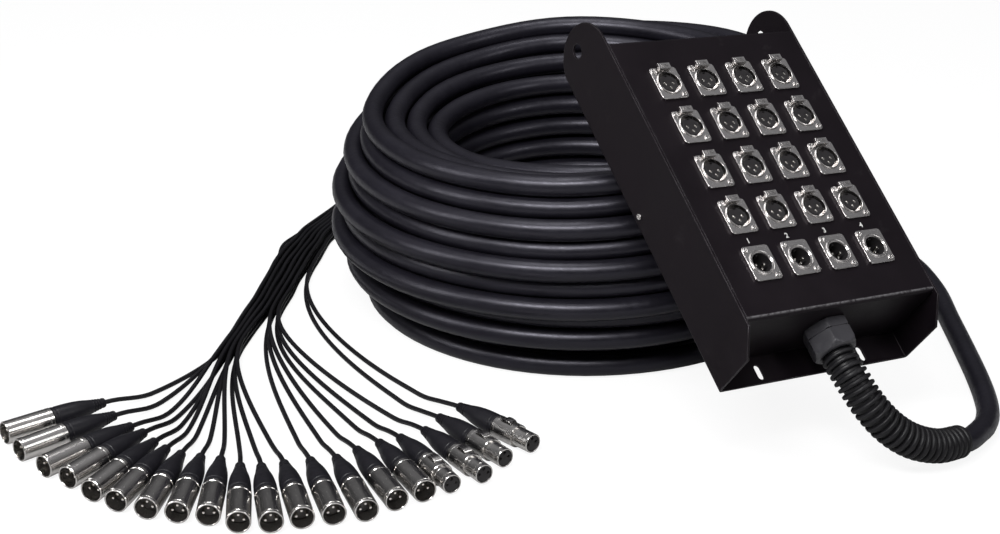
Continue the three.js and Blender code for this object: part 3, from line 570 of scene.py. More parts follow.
def block(name: str, size: Sequence[float], centre: Sequence[float], bevel: float) -> Mesh:
    """Block with rounded upright edges and rims.

    Args:
        name: Name of the mesh.
        size: Sizes along x, y and z.
        centre: Middle of the block.
        bevel: Radius of the edges.

    Returns:
        The mesh.
    """
    outline = rounded_rectangle(size[0], size[1], bevel, 3, (centre[0], centre[1]))
    return plate(name, outline, [], centre[2] - size[2] / 2, centre[2] + size[2] / 2, bevel)


# Finishes


class Finish:
    """A principled material with short ways to add nodes to it."""

    def __init__(self, name: str, colour: Sequence[float], roughness: float, metallic: float = 0.0) -> None:
        """Starts the material.

        Args:
            name: Name of the material.
            colour: Base colour, linear.
            roughness: Roughness from 0 to 1.
            metallic: Metal share from 0 to 1.
        """
        self.material = bpy.data.materials.new(name)
        self.material.use_nodes = True
        self.tree = self.material.node_tree
        self.shader = self.tree.nodes["Principled BSDF"]
        self.shader.inputs["Base Color"].default_value = (*colour, 1)
        self.shader.inputs["Roughness"].default_value = roughness
        self.shader.inputs["Metallic"].default_value = metallic
        self.place = self.tree.nodes.new("ShaderNodeTexCoord").outputs["Object"]

    def noise(
        self, scale: float, detail: float, rough: float, stretch: Sequence[float] = (1, 1, 1)
    ) -> Socket:
        """Noise in the piece's own space.

        Args:
            scale: Noise scale for each metre.
            detail: Octaves.
            rough: Weight of the finer octaves.
            stretch: Scale along each axis.

        Returns:
            The noise value's socket.
        """
        mapping = self.tree.nodes.new("ShaderNodeMapping")
        mapping.inputs["Scale"].default_value = stretch
        texture = self.tree.nodes.new("ShaderNodeTexNoise")
        texture.inputs["Scale"].default_value = scale
        texture.inputs["Detail"].default_value = detail
        texture.inputs["Roughness"].default_value = rough
        self.tree.links.new(self.place, mapping.inputs["Vector"])
        self.tree.links.new(mapping.outputs["Vector"], texture.inputs["Vector"])
        return texture.outputs["Fac"]

    def ranged(
        self, value: Socket, from_low: float, from_high: float, to_low: float, to_high: float
    ) -> Socket:
        """Value mapped from one range to another, clamped.

        Args:
            value: The value's socket.
            from_low: Low end of the range that it comes from.
            from_high: High end of that range.
            to_low: Low end of the range that it goes to.
            to_high: High end of that range.

        Returns:
            The mapped value's socket.
        """
        node = self.tree.nodes.new("ShaderNodeMapRange")
        node.inputs["From Min"].default_value = from_low
        node.inputs["From Max"].default_value = from_high
        node.inputs["To Min"].default_value = to_low
        node.inputs["To Max"].default_value = to_high
        self.tree.links.new(value, node.inputs["Value"])
        return node.outputs["Result"]

    def product(self, a: Socket, b: Socket) -> Socket:
        """Product of two values.

        Args:
            a: The first value's socket.
            b: The second value's socket.

        Returns:
            The product's socket.
        """
        node = self.tree.nodes.new("ShaderNodeMath")
        node.operation = "MULTIPLY"
        self.tree.links.new(a, node.inputs[0])
        self.tree.links.new(b, node.inputs[1])
        return node.outputs["Value"]

    def mixed(self, share: Socket, first: Socket | Sequence[float], second: Sequence[float]) -> Socket:
        """Colour between two colours.

        Args:
            share: Socket of the second colour's share.
            first: Socket of the first colour, or the colour.
            second: The second colour.

        Returns:
            The colour's socket.
        """
        node = self.tree.nodes.new("ShaderNodeMix")
        node.data_type = "RGBA"
        if isinstance(first, Socket):
            self.tree.links.new(first, node.inputs[6])
        else:
            node.inputs[6].default_value = (*first, 1)
        node.inputs[7].default_value = (*second, 1)
        self.tree.links.new(share, node.inputs[0])
        return node.outputs[2]

    def set(self, name: str, source: Socket | float | Sequence[float]) -> None:
        """Feeds one of the shader's inputs.

        Args:
            name: Name of the input.
            source: A socket, or a constant.
        """
        if isinstance(source, Socket):
            self.tree.links.new(source, self.shader.inputs[name])
        else:
            self.shader.inputs[name].default_value = source

    def bump(self, layers: Sequence[tuple[Socket, float, float]]) -> None:
        """Surface relief.

        Args:
            layers: Height socket, strength and distance of each layer, finest last.
        """
        normal = None
        for height, strength, distance in layers:
            node = self.tree.nodes.new("ShaderNodeBump")
            node.inputs["Strength"].default_value = strength
            node.inputs["Distance"].default_value = distance
            self.tree.links.new(height, node.inputs["Height"])
            if normal is not None:
                self.tree.links.new(normal, node.inputs["Normal"])
            normal = node.outputs["Normal"]
        self.tree.links.new(normal, self.shader.inputs["Normal"])

    def attribute(self, name: str) -> Socket:
        """Value that a mesh carries under a name, or 0 where it has none.

        Args:
            name: Name of the mesh's attribute.

        Returns:
            The value's socket.
        """
        node = self.tree.nodes.new("ShaderNodeAttribute")
        node.attribute_name = name
        return node.outputs["Fac"]

    def edge_mask(self, radius: float, low: float, high: float) -> Socket:
        """Mask that is 1 on sharp outer edges.

        Args:
            radius: Reach of the mask round an edge.
            low: Departure of the rounded normal at which the mask starts.
            high: Departure at which it is full.

        Returns:
            The mask's socket.
        """
        rounded = self.tree.nodes.new("ShaderNodeBevel")
        rounded.samples = 4
        rounded.inputs["Radius"].default_value = radius
        flat = self.tree.nodes.new("ShaderNodeNewGeometry")
        dot = self.tree.nodes.new("ShaderNodeVectorMath")
        dot.operation = "DOT_PRODUCT"
        self.tree.links.new(rounded.outputs["Normal"], dot.inputs[0])
        self.tree.links.new(flat.outputs["Normal"], dot.inputs[1])
        return self.ranged(dot.outputs["Value"], 1 - low, 1 - high, 0.0, 1.0)


@dataclass(frozen=True)
class PowderCoat:
    """Brown-black satin powder coat on sheet steel, painted lighter along its edges and its near fold, partly
    as wear and partly as a painted highlight of the light that the bends catch.
    """

    colour: Colour = (0.0042, 0.0029, 0.0041)
    paler: Colour = (0.0072, 0.0051, 0.0069)
    sheen_tint: Colour = (1.0, 0.88, 0.97)
    dust: Colour = (0.050, 0.047, 0.048)
    # Pale grey for the edges and the near fold: partly wear, partly a painted highlight
    wear_highlight_colour: Colour = (0.17, 0.165, 0.172)
    roughness: float = 0.42
    specular: float = 0.19
    peel_scale: float = 1700
    cloud_scale: float = 16
    scuff_scale: float = 70
    chip_scale: float = 310
    edge_radius: float = 0.0012

    def material(self) -> Material:
        """Makes the coat.

        Returns:
            The coat's material.
        """
        finish = Finish("powder_coat", self.colour, self.roughness)
        peel = finish.noise(self.peel_scale, 2, 0.5)
        cloud = finish.noise(self.cloud_scale, 4, 0.6)
        scuffs = finish.noise(self.scuff_scale, 6, 0.65, (1, 0.25, 1))
        chips = finish.noise(self.chip_scale, 5, 0.7)
        tone = finish.mixed(finish.ranged(cloud, 0.35, 0.7, 0.0, 0.6), self.colour, self.paler)
        dusty = finish.mixed(finish.ranged(scuffs, 0.62, 0.8, 0.0, 0.2), tone, self.dust)
        # Lighter colour on the edges and on the near fold: partly wear, partly a painted highlight along the
        # bends
        edge = finish.edge_mask(self.edge_radius, 0.02, 0.22)
        edges = finish.product(edge, finish.ranged(scuffs, 0.42, 0.62, 0.1, 0.6))
        fold = finish.product(finish.attribute(WEAR_HIGHLIGHT_MASK), finish.ranged(chips, 0.36, 0.56, 0.15, 1.0))
        wear_and_highlight = finish.mixed(edges, dusty, self.wear_highlight_colour)
        finish.set("Base Color", finish.mixed(fold, wear_and_highlight, self.wear_highlight_colour))
        finish.set("Roughness", finish.ranged(cloud, 0.3, 0.7, self.roughness - 0.05, self.roughness + 0.1))
        finish.set("Specular IOR Level", self.specular)
        finish.set("Specular Tint", (*self.sheen_tint, 1))
        finish.bump([(cloud, 0.12, 0.0004), (peel, 0.22, 0.00006)])
        return finish.material


@dataclass(frozen=True)
class SatinMetal:
    """Plated metal with fine rub marks."""

    name: str
    colour: Colour
    roughness: float
    grain: Triple = (1, 1, 1)
    grain_scale: float = 900
    stain_scale: float = 95
    stain_share: float = 0.7

    def material(self) -> Material:
        """Makes the metal.

        Returns:
            The metal's material.
        """
        finish = Finish(self.name, self.colour, self.roughness, 1.0)
        rub = finish.noise(self.grain_scale, 4, 0.6, self.grain)
        stain = finish.noise(self.stain_scale, 4, 0.6)
        darker = tuple(c * self.stain_share for c in self.colour)
        finish.set("Base Color", finish.mixed(finish.ranged(stain, 0.45, 0.8, 0.0, 0.4), self.colour, darker))
        finish.set("Roughness", finish.ranged(rub, 0.3, 0.75, self.roughness - 0.05, self.roughness + 0.1))
        finish.bump([(stain, 0.05, 0.0002), (rub, 0.08, 0.00002)])
        return finish.material


@dataclass(frozen=True)
class Polymer:
    """Moulded or extruded plastic and rubber, by its colour, grain and bloom."""

    name: str
    colour: Colour
    bloom: Colour
    roughness: float
    grain_scale: float
    grain_depth: float
    wave_depth: float = 0.0
    specular: float = 0.28
    sheen_tint: Colour = (1.0, 1.0, 1.0)
    cloud_scale: float = 26
    mark_scale: float = 240
    wave_scale: float = 42

    def material(self) -> Material:
        """Makes the polymer.

        Returns:
            The polymer's material.
        """
        finish = Finish(self.name, self.colour, self.roughness)
        grain = finish.noise(self.grain_scale, 3, 0.55)
        cloud = finish.noise(self.cloud_scale, 5, 0.6)
        marks = finish.noise(self.mark_scale, 5, 0.7)
        tone = finish.mixed(finish.ranged(cloud, 0.38, 0.72, 0.0, 0.8), self.colour, self.bloom)
        finish.set("Base Color", finish.mixed(finish.ranged(marks, 0.6, 0.82, 0.0, 0.35), tone, self.bloom))
        finish.set("Roughness", finish.ranged(marks, 0.3, 0.75, self.roughness - 0.07, self.roughness + 0.12))
        finish.set("Specular IOR Level", self.specular)
        finish.set("Specular Tint", (*self.sheen_tint, 1))
        layers = [(grain, 0.3, self.grain_depth)]
        if self.wave_depth:
            layers.insert(0, (finish.noise(self.wave_scale, 2, 0.4), 0.5, self.wave_depth))
        finish.bump(layers)
        return finish.material


@dataclass(frozen=True)
class PaperGround:
    """Plain pale ground under the object, lifted to paper white for the camera alone."""

    colour: Colour = (0.88, 0.88, 0.88)
    bounce: float = 0.42
    lift: float = 0.84
    glow: float = 1.06

    def material(self) -> Material:
        """Makes the ground.

        Returns:
            The ground's material.
        """
        finish = Finish("pale_ground", self.colour, 0.9)
        finish.set("Specular IOR Level", 0.0)
        glow = finish.tree.nodes.new("ShaderNodeEmission")
        glow.inputs["Strength"].default_value = self.glow
        seen = finish.tree.nodes.new("ShaderNodeLightPath")
        share = finish.tree.nodes.new("ShaderNodeMath")
        share.operation = "MULTIPLY"
        share.inputs[1].default_value = self.lift
        blend = finish.tree.nodes.new("ShaderNodeMixShader")
        output = finish.tree.nodes["Material Output"]
        finish.set("Base Color", finish.mixed(seen.outputs["Is Camera Ray"], (self.bounce,) * 3, self.colour))
        finish.tree.links.new(seen.outputs["Is Camera Ray"], share.inputs[0])
        finish.tree.links.new(share.outputs["Value"], blend.inputs["Fac"])
        finish.tree.links.new(finish.shader.outputs["BSDF"], blend.inputs[1])
        finish.tree.links.new(glow.outputs["Emission"], blend.inputs[2])
        finish.tree.links.new(blend.outputs["Shader"], output.inputs["Surface"])
        return finish.material


class Paintbox:
    """Every finish of the object, made once."""

    def __init__(self) -> None:
        """Makes the materials."""
        self.coat = PowderCoat().material()
        self.nickel = SatinMetal("satin_nickel", (0.74, 0.715, 0.70), 0.20).material()
        self.barrel = SatinMetal("barrel_nickel", (0.66, 0.64, 0.62), 0.19, (1, 1, 0.12)).material()
        self.contact = SatinMetal("contact_silver", (0.86, 0.83, 0.77), 0.18).material()
        self.steel = SatinMetal("screw_steel", (0.62, 0.60, 0.59), 0.24).material()
        self.gland = Polymer(
            "gland_polyamide", (0.034, 0.033, 0.038), (0.060, 0.058, 0.064), 0.34, 900, 0.0001, 0.0, 0.5
        ).material()
        self.jacket = Polymer(
            "multicore_jacket", (0.0066, 0.0060, 0.0092), (0.0120, 0.0112, 0.0160), 0.35, 1400, 0.00006,
            0.0009, 0.46, (0.89, 0.87, 1.0),
        ).material()
        self.tail = Polymer(
            "tail_jacket", (0.0048, 0.0045, 0.0058), (0.009, 0.0086, 0.0105), 0.4, 2200, 0.00004
        ).material()
        self.rubber = Polymer(
            "boot_rubber", (0.0062, 0.0058, 0.0070), (0.015, 0.0145, 0.0165), 0.44, 1600, 0.00008
        ).material()
        self.insert = Polymer(
            "socket_insert", (0.016, 0.0145, 0.0155), (0.034, 0.032, 0.033), 0.42, 2600, 0.00004
        ).material()
        self.bore = Polymer(
            "plug_bore", (0.085, 0.08, 0.08), (0.14, 0.135, 0.13), 0.4, 2600, 0.00004
        ).material()
        self.plug_boot = Polymer(
            "plug_boot", (0.0068, 0.0064, 0.0088), (0.016, 0.0152, 0.019), 0.4, 1800, 0.00005
        ).material()
        self.fibre = Polymer(
            "fibre_washer", (0.05, 0.045, 0.045), (0.09, 0.085, 0.08), 0.7, 1500, 0.00008
        ).material()
        self.ink = Polymer(
            "white_ink", (0.66, 0.66, 0.645), (0.48, 0.48, 0.47), 0.6, 1800, 0.00002
        ).material()
        self.wire = Polymer(
            "loom_sleeve", (0.12, 0.12, 0.125), (0.18, 0.18, 0.185), 0.62, 1200, 0.00008
        ).material()
        self.ground = PaperGround().material()


def dress(piece: Object, material: Material | None, body: str = STATIC_BODY) -> Object:
    """Gives a piece its finish and body.

    Args:
        piece: The piece.
        material: Its finish, or None where its mesh has its own.
        body: Body that it rides on.

    Returns:
        The piece.
    """
    if material is not None:
        piece.data.materials.clear()
        piece.data.materials.append(material)
    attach(piece, body)
    return piece


# Box


@dataclass
class BoxPose:
    """Where the box leans on the coil, with its place in millimetres from the coil's centre.

    In the box's own frame x runs across the columns and z out of the base.
    """

    yaw_deg: float = 27.9
    pitch_deg: float = 37.5
    roll_deg: float = 6.2
    base_centre: Triple = (112.2, -230.7, 162.4)

    def matrix(self) -> Matrix:
        """Places the box.

        Returns:
            Box frame in the shared frame.
        """
        turns = ((self.yaw_deg, "Z"), (self.pitch_deg, "X"), (self.roll_deg, "Y"))
        yaw, pitch, roll = (Matrix.Rotation(math.radians(angle), 4, axis) for angle, axis in turns)
        return Matrix.Translation(from_coil(*self.base_centre)) @ (yaw @ pitch @ roll)


@dataclass
class SteelBox:
    """Folded base with cheeks and ears, and folded cover with the socket panel."""

    pose: Matrix
    paints: Paintbox
    width: float = 0.192
    length: float = 0.264
    height: float = 0.066
    sheet: float = 0.002
    base_fold: float = 0.003
    cover_fold: float = 0.0035
    lip: float = 0.0235
    chamfer: float = 0.0192
    ear_past_wall: float = 0.005
    ear_hole_past_wall: float = 0.020
    ear_hole_height: float = 0.030
    ear_hole_radius: float = 0.006
    slot_width: float = 0.0055
    slot_length: float = 0.013
    slot_from_edge: float = 0.010
    slot_spacing: float = 0.104
    column_pitch: float = 0.038
    row_pitch: float = 0.0432
    gland_height: float = 0.033
    gland_hole: float = 0.0128
    shell_hole: float = 0.0118
    notch_width: float = 0.0123
    notch_reach: float = 0.01445
    mark_drop: float = 0.0212
    mark_shift: float = -0.0008
    cheek_screw_along: float = 0.0023
    cheek_screw_height: float = 0.0085
    # Share of the near fold's arc that is painted lighter, partly as wear and partly as a painted highlight
    wear_highlight_share: float = 0.42
    fold_steps: int = 6
    ear_steps: int = 30
    rim_round: float = 0.00035
    mark_size: float = 0.0062
    mark_thickness: float = 0.00004

    def column_place(self, column: int) -> float:
        """Place of a column across the panel."""
        return (column - (COLUMNS - 1) / 2) * self.column_pitch

    def row_place(self, row: int) -> float:
        """Place of a row along the panel."""
        return ((ROWS - 1) // 2 - row) * self.row_pitch

    def _folded(
        self,
        name: str,
        outline: list[Pair],
        holes: list[list[Pair]],
        half_flat: float,
        radius: float,
        wear_and_highlight: bool,
    ) -> Mesh:
        """Sheet cut flat, then folded up along both sides.

        Args:
            name: Name of the mesh.
            outline: Flat outline, folds along y.
            holes: Flat outlines of the holes.
            half_flat: Distance from the middle to where a fold starts.
            radius: Outer radius of the fold.
            wear_and_highlight: Whether the fold at low x carries the mask for the painted highlight and wear.

        Returns:
            The mesh, its outer face at z = 0 and its sides up.
        """
        mesh = plate(name, outline, holes, 0.0, self.sheet, self.rim_round)
        middle = radius - self.sheet / 2
        arc = middle * math.pi / 2
        shape = bmesh.new()
        shape.from_mesh(mesh)
        for side in (-1, 1):
            for step in range(self.fold_steps + 1):
                bmesh.ops.bisect_plane(
                    shape,
                    geom=shape.verts[:] + shape.edges[:] + shape.faces[:],
                    plane_co=(side * (half_flat + arc * step / self.fold_steps), 0, 0),
                    plane_no=(1, 0, 0),
                    dist=1e-7,
                )
        # Mask along the low-x fold for a lighter colour: partly wear, partly a painted highlight along the
        # bend
        rub = shape.verts.layers.float.new(WEAR_HIGHLIGHT_MASK)
        for vertex in shape.verts:
            past = abs(vertex.co.x) - half_flat
            if past <= 0:
                continue
            side = math.copysign(1.0, vertex.co.x)
            reach = radius - vertex.co.z
            if past < arc:
                angle = past / middle
                if side < 0 and wear_and_highlight:
                    vertex[rub] = math.sin(math.pi * min(past / (arc * self.wear_highlight_share), 1.0)) ** 2
                vertex.co.x = side * (half_flat + reach * math.sin(angle))
                vertex.co.z = radius - reach * math.cos(angle)
            else:
                vertex.co.x = side * (half_flat + reach)
                vertex.co.z = radius + past - arc
        bmesh.ops.triangulate(shape, faces=[f for f in shape.faces if len(f.verts) > 4])
        bmesh.ops.recalc_face_normals(shape, faces=shape.faces)
        shape.to_mesh(mesh)
        shape.free()
        return softened(shade(mesh, SHEET_SHARP_DEG))

    def _unrolled(self, height: float, radius: float) -> float:
        """Flat distance past the fold's start, for a height above the outer face.

        Args:
            height: Height on the folded side.
            radius: Outer radius of the fold.

        Returns:
            The distance on the flat sheet.
        """
        middle = radius - self.sheet / 2
        if height < radius:
            return middle * math.acos(1 - height / radius)
        return middle * math.pi / 2 + height - radius

    def base(self) -> Object:
        """Base with its cheeks, ears and lip slots.

        Returns:
            The base's piece.
        """
        radius, half_flat = self.base_fold, self.width / 2 - self.base_fold
        near = -self.length / 2 - self.lip
        centre = self.length / 2 + self.ear_past_wall
        side = [(0.0, near), (self.height - self.chamfer, near), (self.height, near + self.chamfer)]
        ear = self.height / 2
        for step in range(self.ear_steps + 1):
            angle = math.pi / 2 - math.pi * step / self.ear_steps
            side.append((ear + ear * math.sin(angle), centre + ear * math.cos(angle)))
        right = [(half_flat + self._unrolled(max(z, 0.0), radius), y) for z, y in side]
        outline = right + [(-x, y) for x, y in reversed(right)]
        across = half_flat + self._unrolled(self.ear_hole_height, radius)
        holes = []
        for sign in (-1, 1):
            ear_centre = (sign * across, self.length / 2 + self.ear_hole_past_wall)
            slot_centre = (sign * self.slot_spacing / 2, near + self.slot_from_edge)
            holes.append(circle(self.ear_hole_radius, 28, ear_centre))
            holes.append(capsule(self.slot_width, self.slot_length, slot_centre))
        mesh = self._folded("box_base", outline, holes, half_flat, radius, False)
        mesh.transform(self.pose)
        piece = new_object("box_base", mesh)
        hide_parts("base_chassis")
        return dress(piece, self.paints.coat)

    def _punched(self, row: int, column: int) -> list[Pair]:
        """Outline of a socket's hole in the panel.

        Args:
            row: Row of the socket; the last row holds the return sockets.
            column: Column of the socket.

        Returns:
            A circle, with a notch for the latch tab where the socket has one.
        """
        x, y, hole = self.row_place(row), self.column_place(column), self.shell_hole
        if row == INPUT_ROWS:
            return circle(hole, 32, (x, y))
        half = self.notch_width / 2
        start = math.asin(half / hole)
        angles = [start + (math.tau - 2 * start) * step / 28 for step in range(29)]
        arc = [(x + hole * math.cos(angle), y + hole * math.sin(angle)) for angle in angles]
        return [*arc, (x + self.notch_reach, y - half), (x + self.notch_reach, y + half)]

    def cover(self) -> Object:
        """Cover with the socket panel and both end walls.

        Returns:
            The cover's piece.
        """
        radius, half_flat = self.cover_fold, self.length / 2 - self.cover_fold
        gap = self.sheet + SEAT_GAP
        reach = half_flat + self._unrolled(self.height - gap, radius)
        half_width = self.width / 2 - gap
        outline = [(-reach, -half_width), (reach, -half_width), (reach, half_width), (-reach, half_width)]
        holes = [self._punched(row, column) for row in range(ROWS) for column in range(COLUMNS)]
        gland = -(half_flat + self._unrolled(self.height - self.gland_height, radius))
        holes.append(circle(self.gland_hole, 32, (gland, 0.0)))
        mesh = self._folded("box_cover", outline, holes, half_flat, radius, True)
        flip = Matrix(((0, 1, 0, 0), (1, 0, 0, 0), (0, 0, -1, self.height), (0, 0, 0, 1)))
        mesh.transform(self.pose @ flip)
        piece = new_object("box_cover", mesh)
        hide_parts("top_cover")
        return dress(piece, self.paints.coat)

    def screw_mesh(self, radius: float, height: float) -> Mesh:
        """Screw head with a cross recess, its seat at z = 0.

        Args:
            radius: Radius of the head.
            height: Height of the head.

        Returns:
            The screw's mesh.
        """
        arm, half = radius * 0.58, radius * 0.16
        cross = [
            (half, -arm), (half, -half), (arm, -half), (arm, half), (half, half), (half, arm),
            (-half, arm), (-half, half), (-arm, half), (-arm, -half), (-half, -half), (-half, -arm),
        ]
        head = plate("screw_head", circle(radius, 24), [cross], 0.0, height, radius * 0.12, 3)
        wide, high = arm * 1.15, height * 0.3
        floor = turned("screw_floor", [(0.0, 0.0), (wide, 0.0), (wide, high), (0.0, high)], 16)
        return assembled("screw", [Part(head, self.paints.steel), Part(floor, self.paints.steel)])

    def screws(self) -> list[Object]:
        """Screws that hold the cover to the cheeks.

        Returns:
            The screws' pieces.
        """
        mesh = self.screw_mesh(0.0026, 0.0013)
        made = []
        for number, sign in enumerate((-1, 1), 1):
            place = (sign * self.width / 2, self.cheek_screw_along, self.cheek_screw_height)
            turn = Matrix.Rotation(sign * math.pi / 2, 4, "Y")
            piece = new_object(f"cheek_screw_{number}", mesh, self.pose @ Matrix.Translation(place) @ turn)
            made.append(dress(piece, None))
        return made

    def marks(self) -> list[Object]:
        """Printed numbers beside the row of return sockets.

        Returns:
            The numbers' pieces.
        """
        made = []
        for column in range(COLUMNS):
            curve = bpy.data.curves.new(f"mark_{column + 1}", "FONT")
            curve.body = str(column + 1)
            curve.size = self.mark_size
            curve.extrude = self.mark_thickness
            curve.offset = self.mark_thickness * 3
            curve.align_x = "CENTER"
            curve.align_y = "CENTER"
            mesh = baked(new_object(f"mark_curve_{column + 1}", curve))
            place = (
                self.column_place(column) + self.mark_shift,
                self.row_place(INPUT_ROWS) + self.mark_drop,
                self.height + 0.00005,
            )
            piece = new_object(f"mark_{column + 1}", mesh, self.pose @ Matrix.Translation(place))
            made.append(dress(piece, self.paints.ink))
        return made

    def build(self) -> list[Object]:
        """Every piece of the box."""
        return [self.base(), self.cover(), *self.screws(), *self.marks()]


@dataclass
class SocketField:
    """Sixteen input sockets with latch tabs, and four return sockets."""

    box: SteelBox
    flange_width: float = 0.026
    flange_height: float = 0.031
    flange_corner: float = 0.0032
    flange_top: float = 0.0021
    groove_radius: float = 0.010
    rim_radius: float = 0.0109
    rim_top: float = 0.0031
    bezel_top: float = 0.0030
    groove_floor: float = -0.0049
    shell_depth: float = -0.022
    insert_radius: float = 0.0079
    insert_top: float = 0.0018
    bore_radius: float = 0.0083
    bore_floor: float = -0.0119
    pin_radius: float = 0.0012
    pin_length: float = 0.0115
    screw_place: Pair = (0.0095, 0.012)
    tab_width: float = 0.0116
    tab_front: float = 0.0113
    tab_stem: float = 0.0028
    tab_reach: float = 0.006
    tab_under: float = 0.0039
    tab_top: float = 0.0064
    tab_room: float = 0.0007
    tab_round: float = 0.0011
    ridges: int = 3

    def _flange(self, hole_radius: float, slotted: bool) -> Mesh:
        """Flange plate with a round opening, and the tab's slot where it has one.

        Args:
            hole_radius: Radius of the opening.
            slotted: Whether it has the slot.

        Returns:
            The flange's mesh.
        """
        outline = rounded_rectangle(self.flange_width, self.flange_height, self.flange_corner, 8)
        holes = [circle(hole_radius, 48)]
        if slotted:
            centre = (0, self.tab_front + self.tab_stem / 2 + 0.0001)
            wide, deep = self.tab_width + self.tab_room, self.tab_stem + self.tab_room
            holes.append(rounded_rectangle(wide, deep, 0.0006, 3, centre))
        return softened(plate("flange", outline, holes, 0.0, self.flange_top, 0.00045, 3))

    def _bezel(self, inner: float, outer: float) -> Mesh:
        """Rounded ring that stands on the flange round an opening.

        Args:
            inner: Inner radius of the ring.
            outer: Outer radius of the ring.

        Returns:
            The ring's mesh.
        """
        middle, half, rise = (inner + outer) / 2, (outer - inner) / 2, self.bezel_top - self.flange_top
        crown = []
        for step in range(9):
            angle = math.pi * step / 8
            crown.append((middle + half * math.cos(angle), self.flange_top + rise * math.sin(angle) ** 0.8))
        return turned("bezel", [(outer, 0.0), *crown, (inner, 0.0)], 48)

    def _screws(self) -> list[Part]:
        """Screws at two corners of a flange, each turned its own way.

        Returns:
            The screws.
        """
        screw = self.box.screw_mesh(0.0025, 0.0010)
        x, y = self.screw_place
        parts = []
        for sx, sy in ((-1, 1), (1, -1)):
            turn = Matrix.Rotation(0.6 + sx * 0.9 + sy * 0.3, 4, "Z")
            place = Matrix.Translation((sx * x, sy * y, self.flange_top))
            parts.append(Part(screw, self.box.paints.steel, place @ turn))
        return parts

    def input_mesh(self) -> Mesh:
        """Input socket: flange, raised rim, groove, and an insert with three sleeves.

        Returns:
            The socket's mesh.
        """
        paints = self.box.paints
        rim, groove, top = self.rim_radius, self.groove_radius, self.rim_top
        can = turned(
            "can",
            [
                (0.0, self.groove_floor), (groove, self.groove_floor), (groove, top - 0.0005),
                (groove + 0.00012, top - 0.00012), (groove + 0.0003, top), (rim - 0.0003, top),
                (rim - 0.00008, top - 0.00012), (rim, top - 0.0004), (rim, 0.0008), (rim - 0.0004, 0.0),
                (rim - 0.0004, self.shell_depth), (0.0, self.shell_depth),
            ],
            48,
        )
        sleeves = [circle(0.0015, 20, place) for place in CONTACT_PLACES]
        key = [(-0.0012, 0.0062), (0.0012, 0.0062), (0.0012, 0.0073), (-0.0012, 0.0073)]
        disc = circle(self.insert_radius, 48)
        insert = softened(plate("insert", disc, [*sleeves, key], self.groove_floor, self.insert_top))
        parts = [Part(self._flange(rim - 0.0003, True), paints.nickel)]
        parts += [Part(can, paints.nickel), Part(insert, paints.insert)]
        sleeve = [(0.0009, -0.0046), (0.00148, -0.0046), (0.00148, 0.0008), (0.0009, 0.0006)]
        contact = turned("sleeve", sleeve, 16)
        parts += [Part(contact, paints.contact, Matrix.Translation((x, y, 0))) for x, y in CONTACT_PLACES]
        parts += self._screws()
        return assembled("input_socket", parts)

    def return_mesh(self) -> Mesh:
        """Return socket: flange, low rim, deep dark bore with three pins, and a key.

        Returns:
            The socket's mesh.
        """
        paints = self.box.paints
        bore, rim, floor, top = self.bore_radius, self.bore_radius + 0.0016, self.bore_floor, self.flange_top
        ring = turned(
            "rim",
            [
                (bore + 0.0003, 0.0), (bore + 0.0003, top + 0.0003), (bore + 0.0006, top + 0.0006),
                (rim - 0.0003, top + 0.0006), (rim, top + 0.0002), (rim, 0.0),
            ],
            48,
        )
        liner = turned(
            "liner",
            [
                (0.0, floor), (bore, floor), (bore, top - 0.0002), (bore + 0.0004, top),
                (bore + 0.0004, -0.0002), (0.0115, -0.0002), (0.0115, self.shell_depth),
                (0.0, self.shell_depth),
            ],
            48,
        )
        tip, thick = floor + self.pin_length, self.pin_radius
        rod = [(0.0, floor), (thick, floor), (thick, tip - 0.0009), (thick * 0.75, tip - 0.0003), (0.0, tip)]
        pin = turned("pin", rod, 16)
        key = block("key", (0.0022, 0.0012, 0.011), (0, bore - 0.0005, floor + 0.0060), 0.0002)
        parts = [Part(self._flange(bore + 0.001, False), paints.nickel), Part(ring, paints.nickel)]
        parts.append(Part(self._bezel(rim - 0.0001, rim + 0.0013), paints.nickel))
        parts += [Part(liner, paints.insert), Part(key, paints.insert)]
        parts += [Part(pin, paints.contact, Matrix.Translation((x, y, 0))) for x, y in CONTACT_PLACES]
        parts += self._screws()
        return assembled("return_socket", parts)

    def tab_mesh(self) -> Mesh:
        """Latch tab: a stem through the flange and a rounded head with grip ridges.

        Returns:
            The tab's mesh.
        """
        front, back, reach = self.tab_front, self.tab_front + self.tab_stem, self.tab_front + self.tab_reach
        under, top, soft = self.tab_under, self.tab_top, self.tab_round
        outline = [(front, -0.006), (back, -0.006), (back, under), (reach, under), (reach, top - soft)]
        for step in range(5):
            angle = math.pi / 2 * step / 4
            outline.append((reach - soft + soft * math.cos(angle), top - soft + soft * math.sin(angle)))
        outline += [(front + 0.0004, top), (front, top - 0.0004)]
        head = plate("tab", outline, [], -self.tab_width / 2, self.tab_width / 2)
        turn = Matrix(((0, 0, 1, 0), (1, 0, 0, 0), (0, 1, 0, 0), (0, 0, 0, 1)))
        parts = [Part(softened(head), self.box.paints.nickel, turn)]
        for ridge in range(self.ridges):
            centre = (0, front + 0.0016 + ridge * 0.0011, top + 0.0001)
            bar = block("ridge", (self.tab_width * 0.62, 0.0005, 0.0003), centre, 0.0001)
            parts.append(Part(bar, self.box.paints.nickel))
        return assembled("latch_tab", parts)

